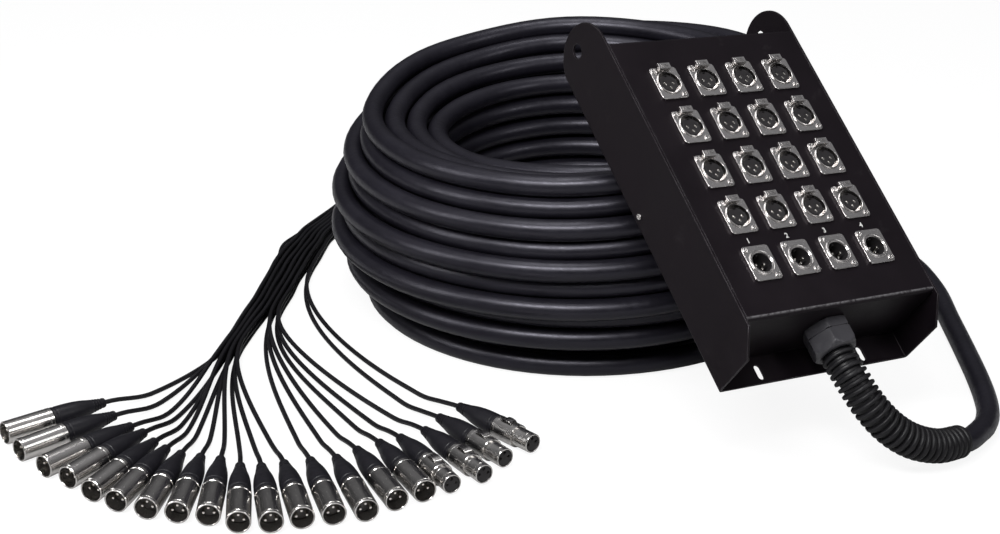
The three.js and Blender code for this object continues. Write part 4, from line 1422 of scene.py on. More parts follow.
    def build(self) -> list[Object]:
        """Every socket and latch tab.

        Returns:
            Their pieces.
        """
        made = []
        inputs, returns, tabs = self.input_mesh(), self.return_mesh(), self.tab_mesh()
        for row in range(ROWS):
            for column in range(COLUMNS):
                place = (self.box.column_place(column), self.box.row_place(row), self.box.height)
                matrix = self.box.pose @ Matrix.Translation(place)
                if row == INPUT_ROWS:
                    socket = new_object(f"return_bezel_{column + 1}", returns, matrix)
                    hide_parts(f"return_socket_{column + 1}")
                    made.append(dress(socket, None))
                    continue
                number = row * COLUMNS + column + 1
                socket = new_object(f"input_socket_{number:02d}", inputs, matrix)
                made.append(dress(socket, None))
                tab = new_object(f"tab_{number:02d}", tabs, matrix)
                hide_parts(f"socket_latch_{number:02d}")
                made.append(dress(tab, None, f"socket_latch_{number:02d}_body"))
        return made


@dataclass
class CableGland:
    """Gland in the middle of the near wall, drawn along z from the wall's outer face."""

    box: SteelBox
    body_across: float = 0.034
    bore: float = 0.0098

    def place(self) -> Matrix:
        """The gland's own frame in the shared frame."""
        wall = Matrix.Translation((0, -self.box.length / 2, self.box.gland_height))
        return self.box.pose @ wall @ Matrix.Rotation(math.pi / 2, 4, "X")

    def build(self) -> list[Object]:
        """Gland body, cap nut and washer, and the finishes of the locknut and the loom behind the wall.

        Returns:
            The pieces outside the wall.
        """
        paints = self.box.paints
        corner = self.body_across / math.sqrt(3)
        body = turned(
            "gland_hex",
            [
                (self.bore, -0.015), (0.0120, -0.015), (0.0125, -0.0145), (0.0125, 0.0003), (0.0181, 0.0003),
                (0.0190, 0.0006), (corner, 0.0013), (corner, 0.0073), (0.0190, 0.0080), (0.0180, 0.0083),
                (0.0140, 0.0083), (0.0140, 0.0173), (self.bore, 0.0173),
            ],
            96,
            hexagon_reach(self.body_across),
        )
        nut = turned(
            "cap_nut",
            [
                (0.0143, 0.0086), (0.0180, 0.0086), (0.0190, 0.0089), (corner, 0.0096), (corner, 0.0186),
                (0.0192, 0.0203), (0.0184, 0.0218), (0.0172, 0.0231), (0.0157, 0.0241), (0.0142, 0.0246),
                (0.0127, 0.0246), (0.0121, 0.0243), (0.0120, 0.0236), (0.0120, 0.0180), (0.0143, 0.0176),
            ],
            96,
            hexagon_reach(self.body_across),
        )
        band = [(0.0127, 0.00002), (0.0152, 0.00002), (0.0152, 0.00028), (0.0127, 0.00028)]
        washer = turned("washer", band, 48)
        made = []
        for name, mesh, material, slot, node in (
            ("gland_hex", body, paints.gland, "nickel", "gland_body"),
            ("gland_cap_nut", nut, paints.gland, "nickel", "gland_nut"),
            ("gland_washer", washer, paints.fibre, "jacket", None),
        ):
            piece = new_object(name, mesh, self.place())
            if node:
                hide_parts(node)
            made.append(dress(piece, material))
        for node, material in (("gland_locknut", paints.gland), ("inner_loom", paints.wire)):
            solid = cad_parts[node]
            solid.data.materials.clear()
            solid.data.materials.append(material)
        return made


# Multicore


@dataclass
class CoilWinding:
    """The slack coil: how its turns pack round the circle, and the order in which their places are wound."""

    box: Matrix
    levels: tuple[int, ...] = (11, 10, 9, 8)
    bottom_radius: float = 0.1945
    top_radius: float = 0.1940
    bulge: float = 0.031
    inner_radius: float = 0.1345
    outer_tops: tuple[Pair, ...] = (
        (-180, 0.173), (-135, 0.168), (-100, 0.1685), (-75, 0.176), (-50, 0.1985), (0, 0.205), (45, 0.2115),
        (90, 0.2110), (135, 0.194),
    )
    inner_tops: tuple[Pair, ...] = ((-180, 0.156), (-90, 0.157), (0, 0.166), (90, 0.163))
    start_deg: float = 80.0
    stations: int = 40
    slack: float = 0.0030
    sag: float = 0.0014
    touch: float = 0.01915
    box_half_width: float = 0.1055
    box_near: float = -0.16
    box_far: float = 0.175
    steps: int = 260
    pulled_steps: int = 220
    pull_share: float = 0.04
    push_share: float = 0.42

    @staticmethod
    def round_the_circle(knots: Sequence[Pair], angle_deg: float) -> float:
        """Value at an angle between knots that repeat every full turn.

        Args:
            knots: Angle and value pairs, by angle, from -180 degrees.
            angle_deg: Any angle.

        Returns:
            The value.
        """
        angle = (angle_deg + 180) % 360 - 180
        for (low, start), (high, end) in zip(knots, (*knots[1:], (180.0, knots[0][1]))):
            if low <= angle <= high:
                return lerp(start, end, smoothstep(angle, low, high))
        return knots[0][1]

    def order(self) -> list[tuple[int, int]]:
        """Places in winding order: out to in along the floor, then up and down each column.

        Returns:
            Column and level of each place.
        """
        outer, second, third, inner = (count - 1 for count in self.levels)
        places = [(0, 0), (1, 0), (2, 0)]
        places += [(3, level) for level in range(inner + 1)]
        places += [(2, level) for level in range(third, 0, -1)]
        places += [(1, level) for level in range(1, second + 1)]
        return places + [(0, level) for level in range(outer, 0, -1)]

    def crossing(self, place: tuple[int, int], following: tuple[int, int]) -> Pair:
        """Where the cable crosses to its next place, and over how much of a turn.

        Args:
            place: The place that it leaves.
            following: The place that it comes to.

        Returns:
            Middle and width of the crossing, in turns after the start of the place.
        """
        if place[1] == 0 and following[1] == 0:
            return 0.86, 0.16
        if following == (0, 1):
            return 0.74, 0.42
        middles = {0: 1.0, 1: 0.72, 2: 0.5, 3: 0.5}
        return middles[following[0]], 0.42 if following[0] == 0 else 0.3

    def target(self, place: tuple[int, int], angle_deg: float) -> Pair:
        """Radius and height that a place has before the turns settle.

        Args:
            place: Column and level.
            angle_deg: Angle round the coil.

        Returns:
            Radius and height.
        """
        column, level = place
        count = self.levels[column] - 1
        share = level / count
        outer = lerp(self.bottom_radius, self.top_radius, share) + self.bulge * math.sin(math.pi * share)
        wall = self.round_the_circle(self.outer_tops, angle_deg)
        hole = self.round_the_circle(self.inner_tops, angle_deg)
        low = CABLE_DIAMETER / 2
        inward = column / (len(self.levels) - 1)
        height = low + (lerp(wall, hole, inward) - low) * share
        radius = lerp(outer, self.inner_radius, inward)
        if column == 0 and level % 2 and level < count:
            pitch = (wall - low) / count
            radius -= math.sqrt(max(self.touch**2 - pitch**2, 0.0))
        return radius, height

    def loose(self, position: float, angle_deg: float) -> Pair:
        """Targets at a position along the winding, with the hand-laid coil's unevenness.

        Args:
            position: Turns from the start of the winding.
            angle_deg: Angle round the coil.

        Returns:
            Radius and height.
        """
        places = self.order()
        number = min(int(position), len(places) - 1)
        here = self.target(places[number], angle_deg)
        for leg in (number - 1, number):
            if not 0 <= leg < len(places) - 1:
                continue
            middle, width = self.crossing(places[leg], places[leg + 1])
            along = smoothstep(position - leg, middle - width / 2, middle + width / 2)
            start, end = self.target(places[leg], angle_deg), self.target(places[leg + 1], angle_deg)
            if 0 < along < 1 or (leg == number and along == 1) or (leg == number - 1 and along < 1):
                here = (lerp(start[0], end[0], along), lerp(start[1], end[1], along))
                break
        angle = math.radians(angle_deg)
        drift = noise.noise_vector(Vector((math.cos(angle) * 0.9, math.sin(angle) * 0.9, position * 0.83)))
        return here[0] + drift.x * self.slack, here[1] + drift.y * self.sag

    def settle(self, wanted: np.ndarray, pinned: np.ndarray, angle_deg: float) -> np.ndarray:
        """Turns at one angle, pushed apart until they only touch, clear of the floor and of the box.

        Args:
            wanted: Radius and height of each turn.
            pinned: Which turns may not move.
            angle_deg: Angle round the coil.

        Returns:
            Settled radius and height of each turn.
        """
        places = wanted.copy()
        free = ~pinned
        cosine, sine = math.cos(math.radians(angle_deg)), math.sin(math.radians(angle_deg))
        into_box = np.array(self.box.inverted())
        for step in range(self.steps):
            if step < self.pulled_steps:
                places[free] += (wanted[free] - places[free]) * self.pull_share
            away = places[:, None, :] - places[None, :, :]
            distance = np.hypot(away[..., 0], away[..., 1])
            np.fill_diagonal(distance, 1.0)
            deep = np.clip(self.touch - distance, 0.0, None)
            push = (away / distance[..., None] * deep[..., None]).sum(axis=1)
            places[free] += push[free] * self.push_share
            places[:, 1] = np.maximum(places[:, 1], CABLE_DIAMETER / 2)
            radii, heights = places.T
            spots = np.stack([radii * cosine, radii * sine + COIL_CENTRE_Y, heights, np.ones(len(places))])
            local = into_box @ spots
            within = (local[1] > self.box_near) & (local[1] < self.box_far)
            below = (np.abs(local[0]) < self.box_half_width) & within & free
            poke = np.clip(local[2] + CABLE_DIAMETER / 2 + SEAT_GAP, 0.0, 0.05) * below
            places[:, 1] -= poke / self.box[2][2]
        return places

    def points(self) -> list[Vector]:
        """Centreline of the coil, from where it starts on the floor to where it leaves the outer wall.

        Returns:
            Its points in order.
        """
        turns = len(self.order()) - 1
        count = turns * self.stations - self.stations // 20 + 1
        angles = [self.start_deg + 360 * i / self.stations for i in range(count)]
        wanted = np.array([self.loose(i / self.stations, angles[i]) for i in range(count)])
        pinned = np.zeros(count, dtype=bool)
        pinned[[0, -1]] = True
        for end in (0, count - 1):
            wanted[end] = self.target(self.order()[0 if end == 0 else -1], angles[end])
        settled = wanted.copy()
        for phase in range(self.stations):
            members = slice(phase, count, self.stations)
            settled[members] = self.settle(wanted[members], pinned[members], angles[phase])
        for _ in range(2):
            settled[1:-1] = settled[:-2] * 0.25 + settled[1:-1] * 0.5 + settled[2:] * 0.25
        knots = []
        for (radius, height), angle_deg in zip(settled, angles):
            angle = math.radians(angle_deg)
            knots.append(Vector((radius * math.cos(angle), radius * math.sin(angle) + COIL_CENTRE_Y, height)))
        return Route(knots, 2).points

    def start_heading(self) -> Vector:
        """Direction in which the coil starts."""
        angle = math.radians(self.start_deg)
        return Vector((-math.sin(angle), math.cos(angle), 0))


@dataclass
class Multicore:
    """The round cable from the gland to the breakout, with its ribbed boot.

    The routes are given in millimetres from the coil's centre.
    """

    gland: CableGland
    paints: Paintbox
    winding: CoilWinding
    inside: float = 0.024
    boot_root: float = 0.0179
    nut_face: float = 0.0246
    boot_bend: tuple[Triple, ...] = (
        (192.5, -369.8, 79.2), (205.4, -378.1, 61), (221.6, -380.7, 43.3), (240.4, -377.6, 29.5),
        (263.7, -367.2, 19.4), (285.7, -350.5, 14.8),
    )
    floor_loop: tuple[Triple, ...] = (
        (301.5, -334, 12.2), (313.8, -314, 10.3), (322, -289.8, 9.6), (326, -262, 9.5), (328.5, -222, 9.5),
        (329.8, -165, 9.5), (330.5, -98, 9.5), (331, -24, 9.5), (319, 44, 9.5), (285, 105, 9.5),
        (232, 149, 9.5), (168, 172, 9.5), (133, 178.6, 9.5),
    )
    way_out: tuple[Triple, ...] = (
        (24, 218, 26), (-23, 239, 18.5), (-68, 256, 11.6), (-106, 265, 9.5), (-138, 266, 9.5),
        (-166, 259, 10.4), (-184, 248, 11.2),
    )
    held_spacing: float = 0.006
    laid_spacing: float = 0.009
    sides: int = 14
    rib_count: int = 26
    rib_pitch: float = 0.0057
    crest: float = 0.0142
    deep_ribs: int = 17
    fin_shares: tuple[Pair, ...] = (
        (0.0, 0.0), (0.15, 0.0), (0.23, 0.66), (0.30, 0.92), (0.40, 1.0), (0.60, 1.0), (0.70, 0.92),
        (0.77, 0.66), (0.85, 0.0),
    )

    def held_route(self) -> Route:
        """Centreline that the boot holds, from inside the nut to the floor.

        Returns:
            The line.
        """
        wall = self.gland.place()
        root = wall @ Vector((0, 0, self.boot_root))
        face = wall @ Vector((0, 0, self.nut_face))
        return Route([root, face, *[from_coil(*point) for point in self.boot_bend]])

    def path(self) -> list[Vector]:
        """Centreline of the whole cable.

        Returns:
            Its points in order.
        """
        wall = self.gland.place()
        start = wall @ Vector((0, 0, -self.inside))
        root = wall @ Vector((0, 0, self.boot_root))
        path = Route([start, start.lerp(root, 0.5), root]).spaced(self.held_spacing)
        held = self.held_route()
        path += held.spaced(self.held_spacing)[1:]
        heading = held.heading(held.length - 0.001)
        coil = self.winding.points()
        arrive = self.winding.start_heading()
        coil_in = coil[0] - arrive * CABLE_DIAMETER
        loop = Route(
            [path[-1], path[-1] + heading * 0.012, *[from_coil(*point) for point in self.floor_loop],
             coil_in - arrive * 0.012, coil_in]
        )
        path += loop.spaced(self.laid_spacing)[1:] + coil
        leave = (coil[-1] - coil[-2]).normalized()
        leave.z = 0
        back = from_coil(*BREAKOUT_BACK)
        trunk = Route(
            [coil[-1], coil[-1] + leave * CABLE_DIAMETER, *[from_coil(*point) for point in self.way_out],
             back - BREAKOUT_AWAY * 0.012, back, back + BREAKOUT_AWAY * 0.008]
        )
        return path + trunk.spaced(self.laid_spacing)[1:]

    def cable(self) -> tuple[Object, list[Vector]]:
        """The cable.

        Returns:
            Its piece and the path that it follows.
        """
        path = self.path()
        piece = new_object("multicore", tube("multicore", path, CABLE_DIAMETER / 2, self.sides))
        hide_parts("held_cable", "cable_loop", "cable_coil", "coil_core", "trunk_end")
        return dress(piece, self.paints.jacket), path

    def boot(self) -> Object:
        """Ribbed rubber boot: deep fins near the nut, finer ones towards the tip.

        Returns:
            The boot's piece.
        """
        route = self.held_route()
        end = route.length
        collar = end - self.rib_count * self.rib_pitch
        stations: list[Pair] = [
            (0.0, 0.0098), (0.0, 0.0111), (0.0008, 0.0112), (collar - 0.0012, 0.0112),
            (collar - 0.0003, 0.0118),
        ]
        for rib in range(self.rib_count):
            if rib < self.deep_ribs:
                valley, crest = lerp(0.0109, 0.0115, rib / (self.rib_count - 1)), self.crest
            else:
                late = (rib - self.deep_ribs) / (self.rib_count - self.deep_ribs)
                valley, crest = lerp(0.0118, 0.0124, late), lerp(self.crest, 0.0132, late)
            for phase, rise in self.fin_shares:
                stations.append((collar + (rib + phase) * self.rib_pitch, lerp(valley, crest, rise)))
        stations += [(end - 0.0002, 0.0126), (end, 0.0122), (end, 0.0098)]
        frames = [(route.at(length), route.heading(length), radius) for length, radius in stations]
        rings = rings_along(frames, 36)
        piece = new_object("bend_boot", skinned("bend_boot", rings, RIBBED_SHARP_DEG))
        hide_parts("cable_boot")
        return dress(piece, self.paints.rubber)

    def build(self, breakout: Object) -> Object:
        """The cable with its boot; the cable ends in the breakout.

        Args:
            breakout: Sleeve at the cable's far end; not used.

        Returns:
            The cable's piece.
        """
        piece, path = self.cable()
        boot = self.boot()
        length = sum((b - a).length for a, b in zip(path, path[1:]))
        log.info("multicore: %.2f m in %d turns", length, len(self.winding.order()) - 1)
        tuple(self.gland.place().translation)
        return piece


# Tails and their plugs


@dataclass
class TailBundle:
    """Breakout sleeve and twenty tails, from the bundle to the fan.

    The routes are in millimetres from the coil's centre, and a plug's turn is in degrees.
    """

    paints: Paintbox
    sleeve_length: float = 0.050
    collar: float = 0.0116
    mouth_width: float = 0.034
    mouth_height: float = 0.016
    pitch: float = 0.0042
    layers: int = 3
    margin: float = 0.00015
    plug_axis: float = 0.0095
    settle: float = 0.046
    into_plug: float = 0.026
    bundle_route: tuple[Pair, ...] = ((-262, 124), (-277, 44), (-289, -54), (-303, -130))
    bundle_headings: tuple[Pair, ...] = (
        (-1, -1), (-0.42, -0.91), (-0.14, -0.99), (-0.15, -0.99), (-0.19, -0.98),
    )
    leave_stations: tuple[int, ...] = (4, 4, 4, 4, 3, 3, 2)
    spread_shares: tuple[float, ...] = (1.0, 1.18, 1.42, 1.3, 1.05)
    drift: float = 0.0017
    stray: float = 0.0085
    free_steps: int = 16
    spacing: float = 0.0065
    sides: int = 10
    plug_route: tuple[Triple, ...] = (
        (-404, -269, -141), (-391, -293, -136), (-374, -313, -129), (-362, -324, -121),
        (-351, -340, -113), (-340, -352, -106), (-327, -361, -98.5), (-311, -366, -93.5),
        (-295, -370, -88.5), (-278.4, -381, -84), (-262, -382, -79), (-245, -377, -75.5),
        (-225, -372, -73.5), (-205, -368, -71), (-190, -354, -66.5), (-173, -342, -64),
        (-157, -333, -61), (-138, -320, -57), (-127, -297, -53), (-111, -277, -48),
    )
    sleeve_shares: tuple[Triple, ...] = (
        (-0.04, 0.0, 0.86), (-0.03, 0.0, 0.97), (-0.01, 0.0, 1.0), (0.05, 0.0, 1.0), (0.075, 0.0, 0.94),
        (0.10, 0.0, 0.94), (0.125, 0.0, 1.0), (0.17, 0.01, 1.0), (0.195, 0.02, 0.94), (0.22, 0.03, 0.94),
        (0.245, 0.05, 1.0), (0.32, 0.12, 1.0), (0.42, 0.28, 0.99), (0.54, 0.52, 0.985), (0.66, 0.76, 0.98),
        (0.78, 0.93, 0.975), (0.88, 0.985, 0.97), (0.92, 0.99, 0.985), (0.945, 0.99, 1.0), (0.985, 0.97, 1.0),
        (0.998, 0.96, 0.97), (1.0, 0.95, 0.93), (0.995, 0.95, 0.90), (0.93, 0.95, 0.86),
    )

    def mouth(self) -> Vector:
        """Middle of the breakout's mouth, on the floor."""
        point = from_coil(*BREAKOUT_BACK) + BREAKOUT_AWAY * (self.sleeve_length + SEAT_GAP)
        return Vector((point.x, point.y, 0))

    def heading(self, station: int) -> Vector:
        """Direction of the bundle at a station."""
        return Vector((*self.bundle_headings[station], 0)).normalized()

    def bundle_place(self, station: int, column: int, layer: int) -> Vector:
        """Centre of a tail in the bundle.

        Args:
            station: Station along the bundle, from 0 at the breakout's mouth.
            column: Place of the tail across the bundle.
            layer: Its layer, from 0 on the floor.

        Returns:
            The centre.
        """
        foot = self.mouth() if station == 0 else from_coil(*self.bundle_route[station - 1], 0)
        heading = self.heading(station)
        across = Vector((-heading.y, heading.x, 0))
        bundle_height = TAIL_DIAMETER + self.margin * 2 + (self.layers - 1) * self.pitch
        lift = TAIL_DIAMETER / 2 + self.margin + layer * self.pitch
        if station == 0:
            lift += (self.mouth_height - bundle_height) / 2
        offset = (column - (len(self.leave_stations) - 1) / 2) * self.pitch * self.spread_shares[station]
        place = foot + across * offset
        place.z = lift
        return place

    def plug_frame(self, tail: int) -> Matrix:
        """Frame of a plug: its axis is z, and y is up.

        Args:
            tail: Number of the tail, from 0.

        Returns:
            The frame, with the rear of the plug's boot as its origin.
        """
        x, y, turn_deg = self.plug_route[tail]
        ahead = Vector((math.cos(math.radians(turn_deg)), math.sin(math.radians(turn_deg)), 0))
        up = Vector((0, 0, 1))
        side = up.cross(ahead)
        rear = from_coil(x, y, 0)
        rear.z = self.plug_axis
        rows = [(side[i], up[i], ahead[i], rear[i]) for i in range(3)]
        return Matrix((*rows, (0, 0, 0, 1)))

    def free_points(self, tail: int) -> list[Vector]:
        """Route of a tail's free stretch, from the bundle to its plug.

        Args:
            tail: Number of the tail, from 0.

        Returns:
            Its points in order.
        """
        column, layer = divmod(tail, self.layers)
        station = self.leave_stations[column]
        start = self.bundle_place(station, column, layer)
        plug = self.plug_frame(tail)
        ahead = plug.col[2].to_3d()
        end = plug.translation - ahead * SEAT_GAP
        reach = (end - start).length
        leave = start + self.heading(station) * (reach / 3)
        arrive = end - ahead * (reach / 3)
        lowest = TAIL_DIAMETER / 2
        points = []
        for i in range(1, self.free_steps + 1):
            t = i / self.free_steps
            rest = 1 - t
            point = start * rest**3 + leave * 3 * t * rest**2 + arrive * 3 * t * t * rest + end * t**3
            drop = 1 - smoothstep(t, 0.25, 0.8)
            rise = 1 - smoothstep(reach * rest, 0.0, self.settle)
            point.z = lowest + (start.z - lowest) * drop + (end.z - lowest) * rise
            points.append(point)
        return points

    def path(self, tail: int) -> list[Vector]:
        """Whole route of a tail, from inside the breakout to inside its plug.

        Args:
            tail: Number of the tail, from 0.

        Returns:
            Its points in order.
        """
        column, layer = divmod(tail, self.layers)
        station = self.leave_stations[column]
        first = self.bundle_place(0, column, layer)
        knots = [first - BREAKOUT_AWAY * 0.012, first]
        for number in range(1, station + 1):
            here, there = knots[-1], self.bundle_place(number, column, layer)
            away = (self.heading(number - 1) + self.heading(number)).normalized().cross(Vector((0, 0, 1)))
            for share in (0.34, 0.67):
                drift = noise.noise_vector(Vector((tail * 3.1, number * 5.3, share * 7.7))) * self.drift
                middle = here.lerp(there, share) + Vector((drift.x, drift.y, abs(drift.z) * 0.6))
                if tail == 0 and number <= 2:
                    middle += away * self.stray * math.sin(math.pi * (number - 1 + share) / 2)
                knots.append(middle)
            if tail == 0 and number == 1:
                there = there + away * self.stray
            knots.append(there)
        free = self.free_points(tail)
        plug = self.plug_frame(tail)
        ahead = plug.col[2].to_3d()
        knots += free + [plug.translation + ahead * share * self.into_plug for share in (0.5, 1.0)]
        return Route(knots, 12).spaced(self.spacing)

    def breakout(self) -> Object:
        """Moulded sleeve from the round cable to the flat mouth, with grip rings and a rolled lip.

        Returns:
            The sleeve's piece.
        """
        across = Vector((-1, 1, 0)).normalized()
        rings = []
        for share, flat, swell in self.sleeve_shares:
            wide = lerp(self.collar, self.mouth_width / 2, flat)
            high = lerp(self.collar, self.mouth_height / 2, flat)
            centre = from_coil(*BREAKOUT_BACK) + BREAKOUT_AWAY * share * self.sleeve_length
            centre.z = high
            ring = []
            for angle in (math.tau * i / 40 for i in range(40)):
                rise = Vector((0, 0, high * swell * math.sin(angle)))
                ring.append(centre + across * wide * swell * math.cos(angle) + rise)
            rings.append(ring)
        piece = new_object("breakout_sleeve", skinned("breakout_sleeve", rings, SHEET_SHARP_DEG))
        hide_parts("breakout")
        return dress(piece, self.paints.rubber)

    def tails(self, plugs: Sequence[Sequence[Object]]) -> list[Object]:
        """The tails, one for each plug.

        Args:
            plugs: The pieces on each tail.

        Returns:
            The tails.
        """
        made = []
        for tail, carried in enumerate(plugs):
            path = self.path(tail)
            name = f"tail_{tail + 1:02d}"
            piece = new_object(name, tube(name, path, TAIL_DIAMETER / 2, self.sides))
            if tail == 0:
                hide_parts("tail_fan")
            dress(piece, self.paints.tail)
            column, layer = divmod(tail, self.layers)
            tuple(self.bundle_place(0, column, layer))
            made.append(piece)
        return made


@dataclass
class LinePlugs:
    """Male and female line plugs, drawn along z from the rear of the boot."""

    paints: Paintbox
    bundle: TailBundle
    radius: float = 0.0095
    length: float = 0.090
    barrel_start: float = 0.0490
    bore_radius: float = 0.0082
    bore_floor: float = 0.0755
    pin_radius: float = 0.0012
    pin_length: float = 0.011
    nose_start: float = 0.073
    nose_radius: float = 0.0079
    recess: float = 0.089
    button_start: float = 0.056
    button_length: float = 0.012
    button_width: float = 0.007
    button_proud: float = 0.0019
    button_sunk: float = 0.0022
    button_room: float = 0.0007
    travel: float = 0.0012

    def boot(self) -> Mesh:
        """Rear boot, grooved where the tail leaves it and swelling to a collar as wide as the barrel.

        Returns:
            The boot's mesh.
        """
        profile: list[Pair] = [(0.0, 0.0), (0.0031, 0.0), (0.0038, 0.0004), (0.0041, 0.0012)]
        for groove in range(4):
            start = 0.0030 + groove * 0.0025
            wide = 0.0042 + groove * 0.00042
            low = wide - 0.0006
            profile += [(wide, start), (low, start + 0.0003), (low, start + 0.0011)]
            profile.append((wide + 0.00015, start + 0.0014))
        profile += [
            (0.0062, 0.0150), (0.0071, 0.0190), (0.0078, 0.0230), (0.0084, 0.0280), (0.0088, 0.0330),
            (0.0090, 0.0380), (0.0091, 0.0425), (0.0091, 0.0440), (0.0087, 0.0445), (0.0087, 0.0455),
            (0.0091, 0.0460), (0.0092, 0.0475), (0.0090, 0.0482), (0.0080, 0.0484), (0.0080, 0.0520),
            (0.0, 0.0520),
        ]
        return turned("plug_boot", profile, 32)

    def barrel_rear(self) -> list[Pair]:
        """Profile of a barrel's rear end, with the groove that both kinds have.

        Returns:
            Radius and height pairs.
        """
        r, start = self.radius, self.barrel_start
        return [
            (0.0, start + 0.001), (0.0083, start), (0.0091, start), (r, start + 0.0005), (r, start + 0.0034),
            (r - 0.0003, start + 0.0037), (r - 0.0003, start + 0.0047), (r, start + 0.0050),
        ]

    def male_mesh(self) -> Mesh:
        """Male plug: boot, barrel with a latch window, and an open bore with three pins.

        Returns:
            The plug's mesh.
        """
        r, end, bore, floor = self.radius, self.length, self.bore_radius, self.bore_floor
        front = [
            (r, end - 0.0030), (r - 0.00025, end - 0.0028), (r - 0.00025, end - 0.0023), (r, end - 0.0021),
            (r, end - 0.0005), (r - 0.0004, end), (bore + 0.0002, end), (bore, end - 0.0003), (bore, floor),
            (0.0, floor),
        ]
        barrel = turned("male_barrel", [*self.barrel_rear(), *front], 48)
        window = block("window", (0.0052, 0.0060, 0.0036), (0, r, end - 0.0072), 0.0004)
        barrel = cut_away(barrel, window)
        disc = [
            (0.0, floor + 0.0006), (bore - 0.0004, floor + 0.0006), (bore - 0.0001, floor + 0.0003),
            (bore - 0.0001, floor - 0.001), (0.0, floor - 0.001),
        ]
        lining = turned("lining", disc, 40)
        tip, thick = floor + self.pin_length, self.pin_radius
        rod = [(0.0, floor), (thick, floor), (thick, tip - 0.0010), (thick * 0.75, tip - 0.0003), (0.0, tip)]
        pin = turned("plug_pin", rod, 16)
        parts = [Part(self.boot(), self.paints.plug_boot), Part(barrel, self.paints.barrel)]
        parts.append(Part(lining, self.paints.bore))
        parts += [Part(pin, self.paints.contact, Matrix.Translation((x, -y, 0))) for x, y in CONTACT_PLACES]
        return assembled("male_plug", parts)

    def female_mesh(self) -> Mesh:
        """Female plug: boot, barrel with the button's pocket, and a grooved nose with an insert.

        Returns:
            The plug's mesh.
        """
        r, nose, end, back = self.radius, self.nose_radius, self.length, self.recess - 0.002
        front = [
            (r, self.nose_start - 0.0006), (r - 0.0005, self.nose_start), (nose, self.nose_start),
            (nose, 0.0752), (nose - 0.0003, 0.0755), (nose - 0.0003, 0.0765), (nose, 0.0768), (nose, 0.0850),
            (nose - 0.00025, 0.0852), (nose - 0.00025, 0.0860), (nose, 0.0862), (nose, end - 0.0004),
            (nose - 0.0003, end), (nose - 0.0009, end), (nose - 0.0011, end - 0.0002), (nose - 0.0011, back),
            (0.0, back),
        ]
        barrel = turned("female_barrel", [*self.barrel_rear(), *front], 48)
        floor = r - self.button_sunk - self.travel - 0.0003
        height = 0.004
        middle = self.button_start + self.button_length / 2
        size = (self.button_width + self.button_room, height, self.button_length + self.button_room)
        pocket = block("pocket", size, (0, floor + height / 2, middle), 0.0004)
        barrel = cut_away(barrel, pocket)
        holes = [circle(0.0014, 20, (x, -y)) for x, y in CONTACT_PLACES]
        disc = circle(nose - 0.0012, 40)
        insert = softened(plate("plug_insert", disc, holes, self.recess - 0.006, self.recess, 0.0002))
        parts = [Part(self.boot(), self.paints.plug_boot), Part(barrel, self.paints.barrel)]
        parts.append(Part(insert, self.paints.insert))
        return assembled("female_plug", parts)

    def button_mesh(self) -> Mesh:
        """Latch button with a rounded crown.

        Returns:
            The button's mesh.
        """
        start, end = self.button_start, self.button_start + self.button_length
        low = self.radius - self.button_sunk
        outline = [(start, low), (end, low), (end, self.radius)]
        for step in range(9):
            angle = math.pi * step / 8
            along = (start + end) / 2 + self.button_length * 0.42 * math.cos(angle)
            outline.append((along, self.radius + self.button_proud * math.sin(angle) ** 0.8))
        outline.append((start, self.radius))
        head = plate("button", outline, [], -self.button_width / 2, self.button_width / 2)
        turn = Matrix(((0, 0, -1, 0), (0, 1, 0, 0), (1, 0, 0, 0), (0, 0, 0, 1)))
        return assembled("button", [Part(softened(head), self.paints.barrel, turn)])

    def build(self) -> list[list[Object]]:
        """The plugs and their latch buttons.

        Returns:
            The pieces that each tail carries.
        """
        male, female, button = self.male_mesh(), self.female_mesh(), self.button_mesh()
        carried = []
        for tail in range(len(self.bundle.plug_route)):
            kind = ContactKind.PINS if tail < INPUTS else ContactKind.SLEEVES
            matrix = self.bundle.plug_frame(tail)
            if kind is ContactKind.PINS:
                plug = new_object(f"male_plug_{tail + 1:02d}", male, matrix)
                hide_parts(f"input_plug_{tail + 1:02d}")
                carried.append([dress(plug, None)])
                continue
            number = tail - INPUTS + 1
            plug = new_object(f"female_plug_{number}", female, matrix)
            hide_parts(f"return_plug_{number}")
            latch = new_object(f"plug_button_{number}", button, matrix)
            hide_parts(f"plug_latch_{number}")
            dress(latch, None, f"plug_latch_{number}_body")
            carried.append([dress(plug, None), latch])
        return carried


# Studio


@dataclass(frozen=True)
class Lamp:
    """Soft rectangular lamp: its place, what it is aimed at, the size of its face and its power in watts."""

    name: str
    place: Triple
    target: Triple
    size: Pair
    power: float


